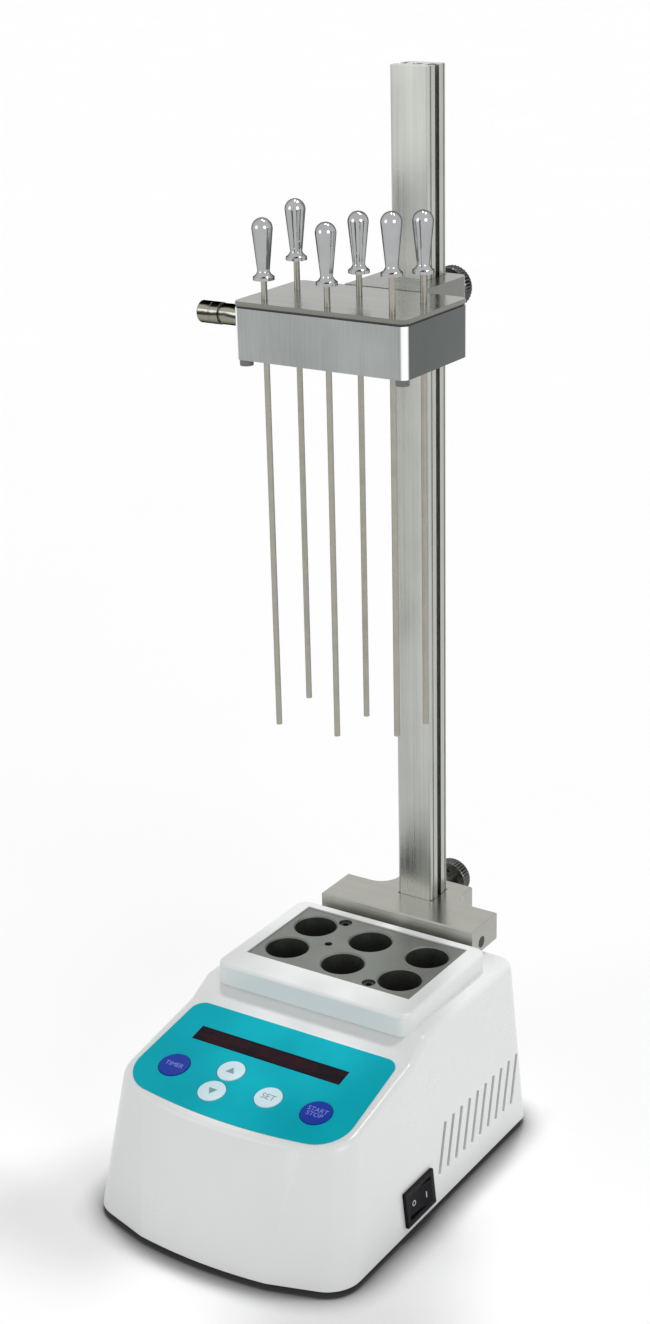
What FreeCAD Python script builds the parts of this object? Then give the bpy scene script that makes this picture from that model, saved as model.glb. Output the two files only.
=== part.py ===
import FreeCAD, Part
import math
import os
import Sketcher

from FreeCAD import Placement, Rotation, Vector

# Nitrogen sample evaporator: a dry bath for six tubes with a column behind it,
# on which a gas manifold with six sliding needles is clamped above the wells.
# Millimetres. X is to the right, Y to the back, Z up. The origin is on the table
# under the middle of the base.

SIZES = {
    # base housing
    "foot_height": 3.0,
    "foot_radius": 6.0,
    "foot_side": 40.0,
    "foot_front": 20.0,
    "foot_rear": 23.0,
    "base_length": 154.0,
    "base_width": 116.0,
    "deck_width": 102.0,
    "deck_level": 73.5,
    "front_lean": 18.5,
    "front_corner_low": 14.0,
    "front_corner_high": 14.0,
    "rear_corner": 7.0,
    "front_bow": 200.0,
    "crease_low": 28.0,
    "crease_high": 38.0,
    "crease_round": 10.0,
    "facet_angle": 17.0,
    "edge_round": 3.0,
    "wall": 2.5,
    "plate_gap": 0.3,
    "plate_thickness": 2.0,
    # sloping control panel, its back measured from the base's front, and the step up to
    # the deck, measured from the panel's back
    "panel_back": 70.0,
    "panel_level": 67.0,
    "panel_tilt": 11.5,
    "slope_foot": 1.0,
    "slope_top": 12.0,
    "slope_round": 4.5,
    # collar round the heating block
    "collar_length": 89.0,
    "collar_front": 35.5,
    "collar_back": 27.5,
    "collar_height": 8.0,
    "collar_corner": 5.0,
    "collar_round": 1.8,
    # heating block, whose six wells end on the plate under it
    "block_y": 37.0,
    "block_length": 75.0,
    "block_width": 45.0,
    "block_height": 45.0,
    "block_drop": 0.5,
    "block_gap": 0.3,
    "well_radius": 8.6,
    "well_chamfer": 0.6,
    "well_pitch_long": 26.4,
    "well_pitch_cross": 21.0,
    "block_screw_long": 9.2,
    "block_screw_cross": 8.3,
    "block_screw_recess": 2.75,
    "probe_hole_radius": 1.6,
    "probe_hole_depth": 30.0,
    "probe_hole_left": 13.5,
    # heater and what holds it
    "heater_plate_thickness": 11.0,
    "heater_film_thickness": 1.0,
    "heater_film_margin": 1.0,
    "sleeve_gap": 0.5,
    "sleeve_wall": 5.0,
    "sleeve_headroom": 0.5,
    "tray_thickness": 1.5,
    "post_radius": 3.0,
    "post_inset": 5.0,
    "sensor_radius": 2.0,
    "sensor_length": 12.0,
    "cutoff_radius": 6.0,
    "cutoff_height": 4.0,
    # panel overlay, keys and display
    "overlay_thickness": 0.4,
    "overlay_back_width": 93.0,
    "overlay_front_width": 98.4,
    "overlay_length": 49.3,
    "overlay_bow": 240.0,
    "overlay_back_corner": 5.5,
    "overlay_front_corner": 14.0,
    "window_length": 67.6,
    "window_width": 7.6,
    "window_middle": -2.2,
    "window_down": 16.25,
    "window_gap": 0.1,
    "blue_key_radius": 6.2,
    "pale_key_radius": 5.5,
    "key_gap": 0.2,
    "key_proud": 0.3,
    "key_lip": 0.5,
    "key_lip_thickness": 0.9,
    "key_stem_radius": 1.5,
    "key_travel": 0.4,
    "key_free": 0.05,
    "board_depth": 9.0,
    "board_thickness": 1.6,
    "board_half_width": 39.0,
    "board_top": -4.0,
    "board_length": 46.0,
    "board_post_radius": 2.5,
    "board_post_inset": 3.0,
    "key_switch_size": 6.0,
    "display_depth": 12.0,
    "display_margin": 2.0,
    # screws
    "small_screw_radius": 1.5,
    "small_screw_head": 2.6,
    "small_screw_head_height": 1.6,
    "screw_gap": 0.05,
    "boss_radius": 3.5,
    "boss_side": 44.5,
    "boss_front": 33.0,
    "boss_rear": 7.8,
    "base_screw_length": 10.0,
    # power board
    "power_board_length": 76.0,
    "power_board_width": 50.0,
    "power_board_middle": -27.0,
    "power_board_height": 5.0,
    "transformer_length": 30.0,
    "transformer_width": 26.0,
    "transformer_height": 22.0,
    # rocker switch on the right side, its level taken at its inner end
    "switch_length": 21.0,
    "switch_width": 15.0,
    "switch_y": -12.3,
    "switch_level": 11.82,
    "switch_bezel": 1.5,
    "switch_rim": 2.5,
    "switch_depth": 14.0,
    "switch_gap": 0.2,
    "rocker_half_length": 7.1,
    "rocker_gap": 0.3,
    "rocker_throw": 18.0,
    # round power socket on the rear wall
    "socket_x": -26.0,
    "socket_level": 14.5,
    "socket_radius": 5.8,
    "socket_flange": 7.5,
    "socket_flange_thickness": 2.5,
    "socket_depth": 12.0,
    "socket_bore": 2.85,
    "socket_bore_depth": 9.5,
    "socket_pin": 1.05,
    # cooling slots in both side walls
    "vent_first": 4.5,
    "vent_pitch": 6.45,
    "vent_level": 14.5,
    "vent_width": 2.0,
    "vent_length": 20.6,
    "vent_lean": 22.8,
    # column and its bracket
    "column_width": 16.0,
    "column_depth": 13.0,
    "column_front": 82.6,
    "column_foot": 65.3,
    "column_length": 350.0,
    "column_round": 1.2,
    "column_gap": 0.15,
    "slot_mouth": 3.0,
    "slot_lip": 1.3,
    "slot_inside": 5.6,
    "slot_depth": 3.6,
    "column_bore": 1.9,
    "line_groove": 0.5,
    "bracket_length": 72.0,
    "bracket_front": 67.0,
    "bracket_bar": 20.6,
    "bracket_thickness": 12.0,
    "bracket_stem_width": 32.0,
    "bracket_stem_end": 102.7,
    "bracket_fillet": 8.0,
    "bracket_edge": 0.6,
    "bracket_screw_x": 28.0,
    "bracket_screw_inset": 4.0,
    "bracket_screw_radius": 2.0,
    "bracket_screw_bite": 8.0,
    "set_screw_radius": 2.4,
    "set_screw_depth": 6.0,
    "set_screw_inset": 7.8,
    "set_screw_rise": 4.2,
    # clamp knobs behind the column
    "knob_radius": 8.0,
    "knob_thickness": 5.0,
    "knob_front": 110.6,
    "knob_bevel": 0.5,
    "knob_knurls": 36,
    "knurl_depth": 0.45,
    "dimple_radius": 0.9,
    "dimple_depth": 0.8,
    "dimple_circle": 4.0,
    "clamp_screw_radius": 2.5,
    "clamp_hole_gap": 0.1,
    "clamp_pad_radius": 2.9,
    "clamp_pad_thickness": 2.0,
    "clamp_pad_gap": 0.15,
    "clamp_pocket_gap": 0.1,
    "clamp_pocket_depth": 4.5,
    "lower_clamp_level": 81.5,
    "upper_clamp_rise": 12.0,
    # carriage and manifold
    "carriage_width": 32.0,
    "carriage_level": 320.0,
    "carriage_height": 20.6,
    "carriage_corner": 3.5,
    "carriage_back": 97.8,
    "carriage_boss_radius": 5.4,
    "manifold_length": 71.8,
    "manifold_width": 43.8,
    "manifold_front": 19.4,
    "manifold_level": 319.7,
    "manifold_body_height": 18.4,
    "manifold_corner": 3.5,
    "chamber_wall": 3.8,
    "chamber_depth": 11.0,
    "chamber_corner": 5.0,
    "gasket_thickness": 0.8,
    "gasket_inset": 0.5,
    "lid_thickness": 1.5,
    "lid_bevel": 0.3,
    "manifold_screw_inset": 3.4,
    "manifold_screw_head": 2.5,
    "manifold_screw_head_height": 2.4,
    "carriage_screw_spacing": 16.0,
    "carriage_screw_bite": 9.0,
    # gas inlet on the left end of the manifold
    "inlet_barb_radius": 4.1,
    "inlet_barb_length": 9.4,
    "inlet_neck_radius": 3.4,
    "inlet_sleeve_radius": 3.9,
    "inlet_bore": 2.0,
    "inlet_hex_radius": 5.5,
    "inlet_hex_length": 6.0,
    "inlet_reach": 28.9,
    "inlet_thread_radius": 3.5,
    "washer_thickness": 1.0,
    # needles and their grips
    "needle_radius": 1.1,
    "needle_bore": 0.7,
    "needle_gap": 0.1,
    "needle_length": 169.2,
    "needle_vent_radius": 0.4,
    "grip_length": 21.5,
    "grip_ball": 3.75,
    "grip_waist": 2.2,
    "grip_waist_height": 3.0,
    "grip_flange": 3.85,
    "grip_flange_thickness": 1.1,
    "grip_socket": 12.0,
    "seal_ring": 1.65,
    "seal_thickness": 0.5,
    "needle_tip_1": 178.3,
    "needle_tip_2": 181.8,
    "needle_tip_3": 178.8,
    "needle_tip_4": 179.4,
    "needle_tip_5": 184.3,
    "needle_tip_6": 181.6,
}

VENT_COUNT = 10
KEYS = {
    "timer_key": ("blue", -33.2, -36.0),
    "up_key": ("pale", -10.6, -30.1),
    "down_key": ("pale", -11.2, -42.4),
    "set_key": ("pale", 10.8, -36.8),
    "start_key": ("blue", 32.0, -36.6),
}

document = FreeCAD.newDocument("evaporator")
nodes = []


# Named sizes

class Size:
    """A size with its value now and the formula that gives it in the sheet."""

    def __init__(self, value, formula):
        self.value = value
        self.formula = formula

    def __float__(self):
        return self.value

    def __add__(self, other):
        return Size(self.value + float(other), f"({self.formula} + {text_of(other)})")

    def __radd__(self, other):
        return Size(float(other) + self.value, f"({text_of(other)} + {self.formula})")

    def __sub__(self, other):
        return Size(self.value - float(other), f"({self.formula} - {text_of(other)})")

    def __rsub__(self, other):
        return Size(float(other) - self.value, f"({text_of(other)} - {self.formula})")

    def __mul__(self, other):
        return Size(self.value * float(other), f"({self.formula} * {text_of(other)})")

    def __rmul__(self, other):
        return self * other

    def __truediv__(self, other):
        return Size(self.value / float(other), f"({self.formula} / {text_of(other)})")

    def __neg__(self):
        return Size(-self.value, f"(0 - {self.formula})")


def text_of(size):
    return size.formula if isinstance(size, Size) else repr(float(size))


def sine(angle):
    return Size(math.sin(math.radians(float(angle))), f"sin({text_of(angle)})")


def cosine(angle):
    return Size(math.cos(math.radians(float(angle))), f"cos({text_of(angle)})")


def tangent(angle):
    return Size(math.tan(math.radians(float(angle))), f"tan({text_of(angle)})")


def fill_sheet():
    """Write every named size to a sheet and return the sizes by name."""
    sheet = document.addObject("Spreadsheet::Sheet", "sizes")
    for row, (name, value) in enumerate(SIZES.items(), start=1):
        sheet.set(f"A{row}", name)
        sheet.set(f"B{row}", str(value))
        sheet.setAlias(f"B{row}", name)
    document.recompute()
    return {name: Size(float(sheet.get(name)), f"sizes.{name}") for name in SIZES}


size = fill_sheet()


def bind(thing, slot, value):
    """Tie one property of an object to a size."""
    thing.setExpression(slot, text_of(value))


# Places

TURNS = {"z": Rotation(), "x": Rotation(Vector(0, 1, 0), 90), "y": Rotation(Vector(1, 0, 0), -90)}


def place(thing, x, y, z, axis="z"):
    """Put an object's own origin at x, y, z, with its Z along the named axis."""
    thing.Placement = Placement(Vector(float(x), float(y), float(z)), TURNS[axis])
    for letter, value in zip("xyz", (x, y, z)):
        bind(thing, f"Placement.Base.{letter}", value)
    return thing


def panel_back():
    return size["panel_back"] - size["base_length"] / 2


def place_on_panel(thing, x, along, out):
    """Put an object on the tilted panel: along points up the slope, out away from it."""
    tilt = size["panel_tilt"]
    y = panel_back() + along * cosine(tilt) - out * sine(tilt)
    z = size["panel_level"] + along * sine(tilt) + out * cosine(tilt)
    place(thing, x, y, z)
    thing.Placement.Rotation = Rotation(Vector(1, 0, 0), float(tilt))
    bind(thing, "Placement.Rotation.Angle", tilt)
    return thing


def wall_draft():
    """The angle at which the side walls lean in, in degrees."""
    run = (size["base_width"] - size["deck_width"]) / 2
    rise = size["deck_level"] - size["foot_height"]
    angle = math.degrees(math.atan2(float(run), float(rise)))
    return Size(angle, f"atan({run.formula} / {rise.formula})")


def side_wall_x(level):
    """Half of the housing's width at a level."""
    share = (level - size["foot_height"]) / (size["deck_level"] - size["foot_height"])
    return size["base_width"] / 2 - share * (size["base_width"] - size["deck_width"]) / 2


def switch_level():
    """Height of the middle of the switch's face."""
    return size["switch_level"] + size["switch_depth"] * sine(wall_draft())


def place_on_side(thing, out, along, up):
    """Put an object at the switch on the right side wall, turned with the wall."""
    draft = wall_draft()
    middle = side_wall_x(switch_level())
    x = middle + out * cosine(draft) - up * sine(draft)
    z = switch_level() + out * sine(draft) + up * cosine(draft)
    place(thing, x, size["switch_y"] + along, z)
    thing.Placement.Rotation = Rotation(Vector(0, -1, 0), float(draft))
    bind(thing, "Placement.Rotation.Angle", draft)
    return thing


# Simple solids

def box(name, length, width, height):
    solid = document.addObject("Part::Box", name)
    for slot, value in (("Length", length), ("Width", width), ("Height", height)):
        bind(solid, slot, value)
    return solid


def centred_box(name, length, width, height, x, y, z):
    """A box with its middle at x, y and its underside at z."""
    return place(box(name, length, width, height), x - length / 2, y - width / 2, z)


def rod(name, radius, length, x, y, z, axis="z"):
    solid = document.addObject("Part::Cylinder", name)
    bind(solid, "Radius", radius)
    bind(solid, "Height", length)
    return place(solid, x, y, z, axis)


def fuse(name, *shapes):
    joined = document.addObject("Part::MultiFuse", name)
    joined.Shapes = list(shapes)
    joined.Refine = True
    return joined


def cut(name, base, *tools):
    """The base without the tools, which are joined first where there are several."""
    result = document.addObject("Part::Cut", name)
    result.Base = base
    result.Tool = tools[0] if len(tools) == 1 else fuse(name + "_tools", *tools)
    result.Refine = True
    return result


def group(name, *shapes):
    """Several separate solids under one name."""
    together = document.addObject("Part::Compound", name)
    together.Links = list(shapes)
    return together


def node(thing):
    """Keep an object as one of the sub-parts that are written."""
    nodes.append(thing)
    return thing


# Bodies with sketches

def origin_plane(body, role):
    return next(part for part in body.Origin.OriginFeatures if part.Role == role)


def sketch_on(body, name, role="XY_Plane", lift=0.0):
    """A sketch on one of the body's own planes, lifted along the plane's normal."""
    sketch = body.newObject("Sketcher::SketchObject", name)
    sketch.AttachmentSupport = (origin_plane(body, role), [""])
    sketch.MapMode = "FlatFace"
    bind(sketch, "AttachmentOffset.Base.z", lift)
    return sketch


def pin_point(sketch, geometry, end, x, y):
    """Hold one end of a line or an arc, or a centre, at named distances."""
    for kind, value in (("DistanceX", x), ("DistanceY", y)):
        index = sketch.addConstraint(Sketcher.Constraint(kind, -1, 1, geometry, end, float(value)))
        if isinstance(value, Size):
            sketch.setExpression(f"Constraints[{index}]", value.formula)


def arc_between(start, finish, radius):
    """An arc from start to finish, turning left for a positive radius."""
    chord = finish - start
    rise = math.sqrt(max(radius * radius - chord.Length ** 2 / 4, 0.0))
    left = Vector(-chord.y, chord.x, 0).normalize()
    centre = (start + finish) * 0.5 + left * (rise if radius > 0 else -rise)
    first, last = (start, finish) if radius > 0 else (finish, start)
    angles = [math.atan2(p.y - centre.y, p.x - centre.x) for p in (first, last)]
    return Part.ArcOfCircle(Part.Circle(centre, Vector(0, 0, 1), abs(radius)), *angles)


def outline(sketch, corners):
    """A closed outline. A corner is (x, y), or (x, y, radius) where an arc leads to it."""
    points = [Vector(float(corner[0]), float(corner[1]), 0) for corner in corners]
    ends = []
    for index, corner in enumerate(corners):
        start, finish = points[index - 1], points[index]
        if len(corner) == 3:
            radius = corner[2]
            edge = sketch.addGeometry(arc_between(start, finish, float(radius)))
            bend = sketch.addConstraint(Sketcher.Constraint("Radius", edge, abs(float(radius))))
            if isinstance(radius, Size):
                value = radius if float(radius) > 0 else -radius
                sketch.setExpression(f"Constraints[{bend}]", value.formula)
            ends.append((edge, 2, 1) if float(radius) < 0 else (edge, 1, 2))
        else:
            ends.append((sketch.addGeometry(Part.LineSegment(start, finish)), 1, 2))
    for index, corner in enumerate(corners):
        edge, _, finish_end = ends[index]
        following, start_end, _ = ends[(index + 1) % len(ends)]
        sketch.addConstraint(Sketcher.Constraint("Coincident", edge, finish_end, following, start_end))
        pin_point(sketch, edge, finish_end, corner[0], corner[1])


def rectangle(sketch, left, front, right, back):
    outline(sketch, [(left, front), (right, front), (right, back), (left, back)])


def circle(sketch, x, y, radius):
    middle = Vector(float(x), float(y), 0)
    ring = sketch.addGeometry(Part.Circle(middle, Vector(0, 0, 1), float(radius)))
    pin_point(sketch, ring, 3, x, y)
    bend = sketch.addConstraint(Sketcher.Constraint("Radius", ring, float(radius)))
    if isinstance(radius, Size):
        sketch.setExpression(f"Constraints[{bend}]", radius.formula)


def pad(body, sketch, length):
    feature = body.newObject("PartDesign::Pad", sketch.Name + "_pad")
    feature.Profile = sketch
    bind(feature, "Length", length)
    sketch.Visibility = False
    return feature


def pocket(body, sketch, depth=None, upward=False):
    """Cut a sketch into the body, against the sketch's normal unless it is upward."""
    feature = body.newObject("PartDesign::Pocket", sketch.Name + "_pocket")
    feature.Profile = sketch
    feature.Reversed = upward
    if depth is None:
        feature.Type = "ThroughAll"
    else:
        bind(feature, "Length", depth)
    sketch.Visibility = False
    return feature


def revolution(body, sketch):
    feature = body.newObject("PartDesign::Revolution", sketch.Name + "_turned")
    feature.Profile = sketch
    feature.ReferenceAxis = (sketch, ["V_Axis"])
    feature.Angle = 360.0
    sketch.Visibility = False
    return feature


def dress(body, kind, slot, value, chosen):
    """Fillet or chamfer the edges of the body's last feature that chosen accepts."""
    document.recompute()
    base = body.Tip
    names = [f"Edge{i}" for i, edge in enumerate(base.Shape.Edges, start=1) if chosen(edge)]
    feature = body.newObject(f"PartDesign::{kind}", f"{body.Name}_{kind.lower()}_{len(body.Group)}")
    feature.Base = (base, names)
    bind(feature, slot, value)
    return feature


def is_upright(edge):
    first, last = edge.Vertexes[0].Point, edge.Vertexes[-1].Point
    return abs(first.x - last.x) < 1e-6 and abs(first.y - last.y) < 1e-6 and edge.Length > 1e-3


def is_circle(edge, radius):
    return isinstance(edge.Curve, Part.Circle) and abs(edge.Curve.Radius - float(radius)) < 1e-6


def new_body(name):
    return document.addObject("PartDesign::Body", name)


# Base housing

def between(name, share):
    """A size that runs from its low value to its high value up the housing."""
    low, high = float(size[name + "_low"]), float(size[name + "_high"])
    return low + share * (high - low)


def front_points(share, inset):
    """Right half of the housing's front edge: the ends and the middle of three arcs,
    a shallow bow, a soft crease and the corner, with a straight facet before the last."""
    half = float(size["base_width"]) / 2 - inset
    half -= share * (float(size["base_width"]) - float(size["deck_width"])) / 2
    start = -float(size["base_length"]) / 2 + share * float(size["front_lean"]) + inset
    full_bow = float(size["front_bow"])
    crease_angle = math.asin(between("crease", share) / full_bow)
    facet_angle = math.radians(float(size["facet_angle"]))
    bow = full_bow - inset
    crease = float(size["crease_round"]) - inset
    corner = between("front_corner", share) - inset

    def along(centre, radius, angle):
        return centre + Vector(math.sin(angle), -math.cos(angle), 0) * radius

    bow_end = along(Vector(0, start + bow, 0), bow, crease_angle)
    crease_centre = along(bow_end, -crease, crease_angle)
    facet_start = along(crease_centre, crease, facet_angle)
    facet_end_x = half - corner + corner * math.sin(facet_angle)
    facet_end_y = facet_start.y + (facet_end_x - facet_start.x) * math.tan(facet_angle)
    corner_centre = Vector(half - corner, facet_end_y + corner * math.cos(facet_angle), 0)
    return {
        "front": Vector(0, start, 0),
        "bow_end": bow_end,
        "crease": along(crease_centre, crease, (crease_angle + facet_angle) / 2),
        "facet_start": facet_start,
        "facet_end": Vector(facet_end_x, facet_end_y, 0),
        "corner": along(corner_centre, corner, (facet_angle + math.pi / 2) / 2),
        "side_front": Vector(half, corner_centre.y, 0),
    }


def base_outline(level, inset):
    """The housing's outline at a level, moved in by an inset."""
    low = float(size["foot_height"])
    share = (level - low) / (float(size["deck_level"]) - low)
    right = front_points(share, inset)
    half = right["side_front"].x
    rear = float(size["base_length"]) / 2 - inset
    turn = max(float(size["rear_corner"]) - inset, 0.5)
    diagonal = turn * math.sqrt(0.5)
    right["side_rear"] = Vector(half, rear - turn, 0)
    right["rear_corner"] = Vector(half - turn + diagonal, rear - turn + diagonal, 0)
    right["rear"] = Vector(half - turn, rear, 0)
    left = {name: Vector(-point.x, point.y, 0) for name, point in right.items()}
    edges = [
        Part.LineSegment(right["rear"], left["rear"]),
        Part.Arc(left["rear"], left["rear_corner"], left["side_rear"]),
        Part.LineSegment(left["side_rear"], left["side_front"]),
        Part.Arc(left["side_front"], left["corner"], left["facet_end"]),
        Part.LineSegment(left["facet_end"], left["facet_start"]),
        Part.Arc(left["facet_start"], left["crease"], left["bow_end"]),
        Part.Arc(left["bow_end"], right["front"], right["bow_end"]),
        Part.Arc(right["bow_end"], right["crease"], right["facet_start"]),
        Part.LineSegment(right["facet_start"], right["facet_end"]),
        Part.Arc(right["facet_end"], right["corner"], right["side_front"]),
        Part.LineSegment(right["side_front"], right["side_rear"]),
        Part.Arc(right["side_rear"], right["rear_corner"], right["rear"]),
    ]
    return Part.Wire([edge.toShape() for edge in edges]).translated(Vector(0, 0, level))


def drafted_solid(low, high, inset):
    return Part.makeLoft([base_outline(low, inset), base_outline(high, inset)], True, True)


def panel_height(y):
    """Height of the panel's plane at a distance to the back."""
    return size["panel_level"] + (y - panel_back()) * tangent(size["panel_tilt"])


def top_corners(inset):
    """The two bends of the top in side view, moved square to its faces by an inset."""
    tilt = math.radians(float(size["panel_tilt"]))
    foot_y = panel_back() + size["slope_foot"]
    foot = (float(foot_y), float(panel_height(foot_y)))
    top = (float(panel_back() + size["slope_top"]), float(size["deck_level"]))
    slope = math.atan2(top[1] - foot[1], top[0] - foot[0])
    corners = []
    for (y, z), first, second in ((foot, tilt, slope), (top, slope, 0.0)):
        middle = (first + second) / 2
        reach = inset / math.cos((first - second) / 2)
        corners.append((y + reach * math.sin(middle), z - reach * math.cos(middle)))
    return corners


def under_top(inset):
    """Everything below the panel, the slope behind it and the deck."""
    reach = float(size["base_length"])
    tilt = math.radians(float(size["panel_tilt"]))
    foot, top = top_corners(inset)
    points = [(-reach, -reach), (-reach, foot[1] - (foot[0] + reach) * math.tan(tilt)), foot, top]
    points += [(reach, top[1]), (reach, -reach)]
    ring = Part.makePolygon([Vector(-reach, y, z) for y, z in points + points[:1]])
    solid = Part.Face(ring).extrude(Vector(2 * reach, 0, 0))
    bends = [e for e in solid.Edges if any(is_level_line(e, y, z) for y, z in (foot, top))]
    return solid.makeFillet(float(size["slope_round"]), bends)


def is_level_line(edge, y, z):
    """Whether an edge runs along X through y, z."""
    return all(abs(v.Y - y) < 1e-4 and abs(v.Z - z) < 1e-4 for v in edge.Vertexes)


def top_edges(solid):
    """The edges where the housing's top faces meet its walls."""
    steep = 0.4
    found = []
    for edge in solid.Edges:
        faces = solid.ancestorsOfType(edge, Part.Face)
        ups = []
        for face in faces:
            u0, u1, v0, v1 = face.ParameterRange
            ups.append(face.normalAt((u0 + u1) / 2, (v0 + v1) / 2).z)
        if len(ups) == 2 and max(ups) > steep and abs(min(ups)) < steep:
            found.append(edge)
    return found


def housing_shell():
    """The drafted outer skin with round top edges, hollow from below."""
    low = float(size["foot_height"])
    deck = float(size["deck_level"])
    wall = float(size["wall"])
    spare = wall
    outer = drafted_solid(low, deck + spare, 0.0).common(under_top(0.0))
    outer = outer.makeFillet(float(size["edge_round"]), top_edges(outer))
    inner = drafted_solid(low - spare, deck + spare, wall).common(under_top(wall))
    shell = document.addObject("Part::Feature", "housing_shell")
    shell.Shape = outer.cut(inner)
    return shell


def housing_collar():
    """The raised frame round the heating block."""
    body = new_body("housing_collar")
    half = size["collar_length"] / 2
    sketch = sketch_on(body, "collar_outline", lift=size["deck_level"] - size["wall"] / 2)
    front = size["block_y"] - size["collar_front"]
    rectangle(sketch, -half, front, half, size["block_y"] + size["collar_back"])
    pad(body, sketch, size["collar_height"] + size["wall"] / 2)
    dress(body, "Fillet", "Radius", size["collar_corner"], is_upright)
    top = float(size["deck_level"] + size["collar_height"])
    dress(body, "Fillet", "Radius", size["collar_round"],
          lambda edge: all(abs(v.Z - top) < 1e-6 for v in edge.Vertexes))
    return body


def boss_places():
    """Where the four screws from below meet the housing, with the boss's top."""
    side = size["boss_side"]
    front = size["boss_front"] - size["base_length"] / 2
    rear = size["base_length"] / 2 - size["boss_rear"]
    front_top = panel_height(front) - size["wall"] / 2
    rear_top = size["deck_level"] - size["wall"] / 2
    return [(x, y, top) for y, top in ((front, front_top), (rear, rear_top)) for x in (-side, side)]


def well_places():
    """The six wells, front then back in each row, from left to right."""
    pitch = size["well_pitch_long"]
    half = size["well_pitch_cross"] / 2
    rows = [(column * pitch, row) for column in (-1, 0, 1) for row in (-half, half)]
    return [(x, size["block_y"] + y) for x, y in rows]


def board_post_places():
    """The control board's four posts, in the panel's own directions."""
    inset = size["board_post_inset"]
    side = size["board_half_width"] - inset
    top = size["board_top"] - inset
    low = size["board_top"] - size["board_length"] + inset
    return [(x, along) for x in (-side, side) for along in (top, low)]


def bracket_screw_places():
    y = size["bracket_front"] + size["bracket_screw_inset"]
    return [(-size["bracket_screw_x"], y), (size["bracket_screw_x"], y)]


def vent_cutters():
    """Slanted slots through both side walls."""
    cutters = []
    reach = 4 * size["wall"]
    for side, x in (("left", -size["base_width"] / 2 - reach / 5),
                    ("right", size["base_width"] / 2 - reach * 4 / 5)):
        for index in range(VENT_COUNT):
            slot = box(f"vent_{side}_{index}", reach, size["vent_width"], size["vent_length"])
            y = size["vent_first"] + index * size["vent_pitch"] - size["vent_width"] / 2
            place(slot, x, y, size["vent_level"])
            slot.Placement.Rotation = Rotation(Vector(-1, 0, 0), float(size["vent_lean"]))
            bind(slot, "Placement.Rotation.Angle", size["vent_lean"])
            cutters.append(slot)
    return cutters


def panel_rod(name, radius, length, x, along, out):
    """A rod square to the panel, from out towards the viewer."""
    solid = document.addObject("Part::Cylinder", name)
    bind(solid, "Radius", radius)
    bind(solid, "Height", length)
    return place_on_panel(solid, x, along, out)


def panel_box(name, length, width, height, x, along, out):
    """A box on the panel with its middle at x, along and its underside at out."""
    return place_on_panel(box(name, length, width, height), x - length / 2, along - width / 2, out)


def housing():
    """The moulded shell with its collar, bosses and every opening."""
    wall = size["wall"]
    solids = [housing_shell(), housing_collar()]
    floor = size["foot_height"] + size["plate_thickness"]
    for index, (x, y, top) in enumerate(boss_places()):
        solids.append(rod(f"boss_{index}", size["boss_radius"], top - floor, x, y, floor))
    post_length = size["board_depth"] - wall / 2
    for index, (x, along) in enumerate(board_post_places()):
        solids.append(panel_rod(f"board_post_{index}", size["board_post_radius"], post_length,
                                x, along, -size["board_depth"]))
    cutters = vent_cutters()
    opening_length = size["block_length"] + 2 * size["block_gap"]
    opening_width = size["block_width"] + 2 * size["block_gap"]
    cutters.append(centred_box("block_opening", opening_length, opening_width,
                               size["collar_height"] + 4 * wall, 0.0, size["block_y"],
                               size["deck_level"] - 2 * wall))
    window = size["window_gap"]
    cutters.append(panel_box("window_opening", size["window_length"] + 2 * window,
                             size["window_width"] + 2 * window, 3 * wall,
                             size["window_middle"], -size["window_down"], -2 * wall))
    for name, (colour, x, along) in KEYS.items():
        cutters.append(panel_rod(f"{name}_hole", size[f"{colour}_key_radius"] + size["key_gap"],
                                 3 * wall, x, along, -2 * wall))
    screw = size["small_screw_radius"] + size["screw_gap"]
    for index, (x, y, _) in enumerate(boss_places()):
        cutters.append(rod(f"boss_bore_{index}", screw, size["base_screw_length"] + wall,
                           x, y, floor - wall / 5))
    for index, (x, along) in enumerate(board_post_places()):
        cutters.append(panel_rod(f"board_post_bore_{index}", screw, size["board_depth"] - 1.5 * wall,
                                 x, along, -size["board_depth"] - wall / 5))
    for index, (x, y) in enumerate(bracket_screw_places()):
        hole = size["bracket_screw_radius"] + size["screw_gap"]
        cutters.append(rod(f"deck_hole_{index}", hole, 4 * wall, x, y, size["deck_level"] - 2 * wall))
    switch = box("switch_opening", 4 * wall, size["switch_length"] - size["switch_rim"] / 2,
                 size["switch_width"] - size["switch_rim"] / 2)
    cutters.append(place_on_side(switch, -2 * wall, (size["switch_rim"] / 2 - size["switch_length"]) / 2,
                                 (size["switch_rim"] / 2 - size["switch_width"]) / 2))
    cutters.append(rod("socket_opening", size["socket_radius"] + size["switch_gap"], 4 * wall,
                       size["socket_x"], size["base_length"] / 2 - 2 * wall, size["socket_level"], "y"))
    node(cut("housing", fuse("housing_solid", *solids), *cutters))


def base_plate():
    """The metal floor inside the housing's lower rim."""
    low = float(size["foot_height"])
    top = low + float(size["plate_thickness"])
    inset = float(size["wall"] + size["plate_gap"])
    blank = document.addObject("Part::Feature", "base_plate_blank")
    blank.Shape = drafted_solid(low, top, inset)
    hole = size["small_screw_radius"] + size["screw_gap"]
    holes = [rod(f"base_plate_hole_{index}", hole, 3 * size["plate_thickness"], x, y,
                 size["foot_height"] - size["plate_thickness"])
             for index, (x, y, _) in enumerate(boss_places())]
    node(cut("base_plate", blank, *holes))


def feet():
    """Four round rubber feet under the base plate."""
    side = size["foot_side"]
    front = size["foot_front"] - size["base_length"] / 2
    rear = size["base_length"] / 2 - size["foot_rear"]
    places = [(x, y) for y in (front, rear) for x in (-side, side)]
    pads = [rod(f"foot_{index}", size["foot_radius"], size["foot_height"], x, y, 0.0)
            for index, (x, y) in enumerate(places)]
    node(group("rubber_feet", *pads))


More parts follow.
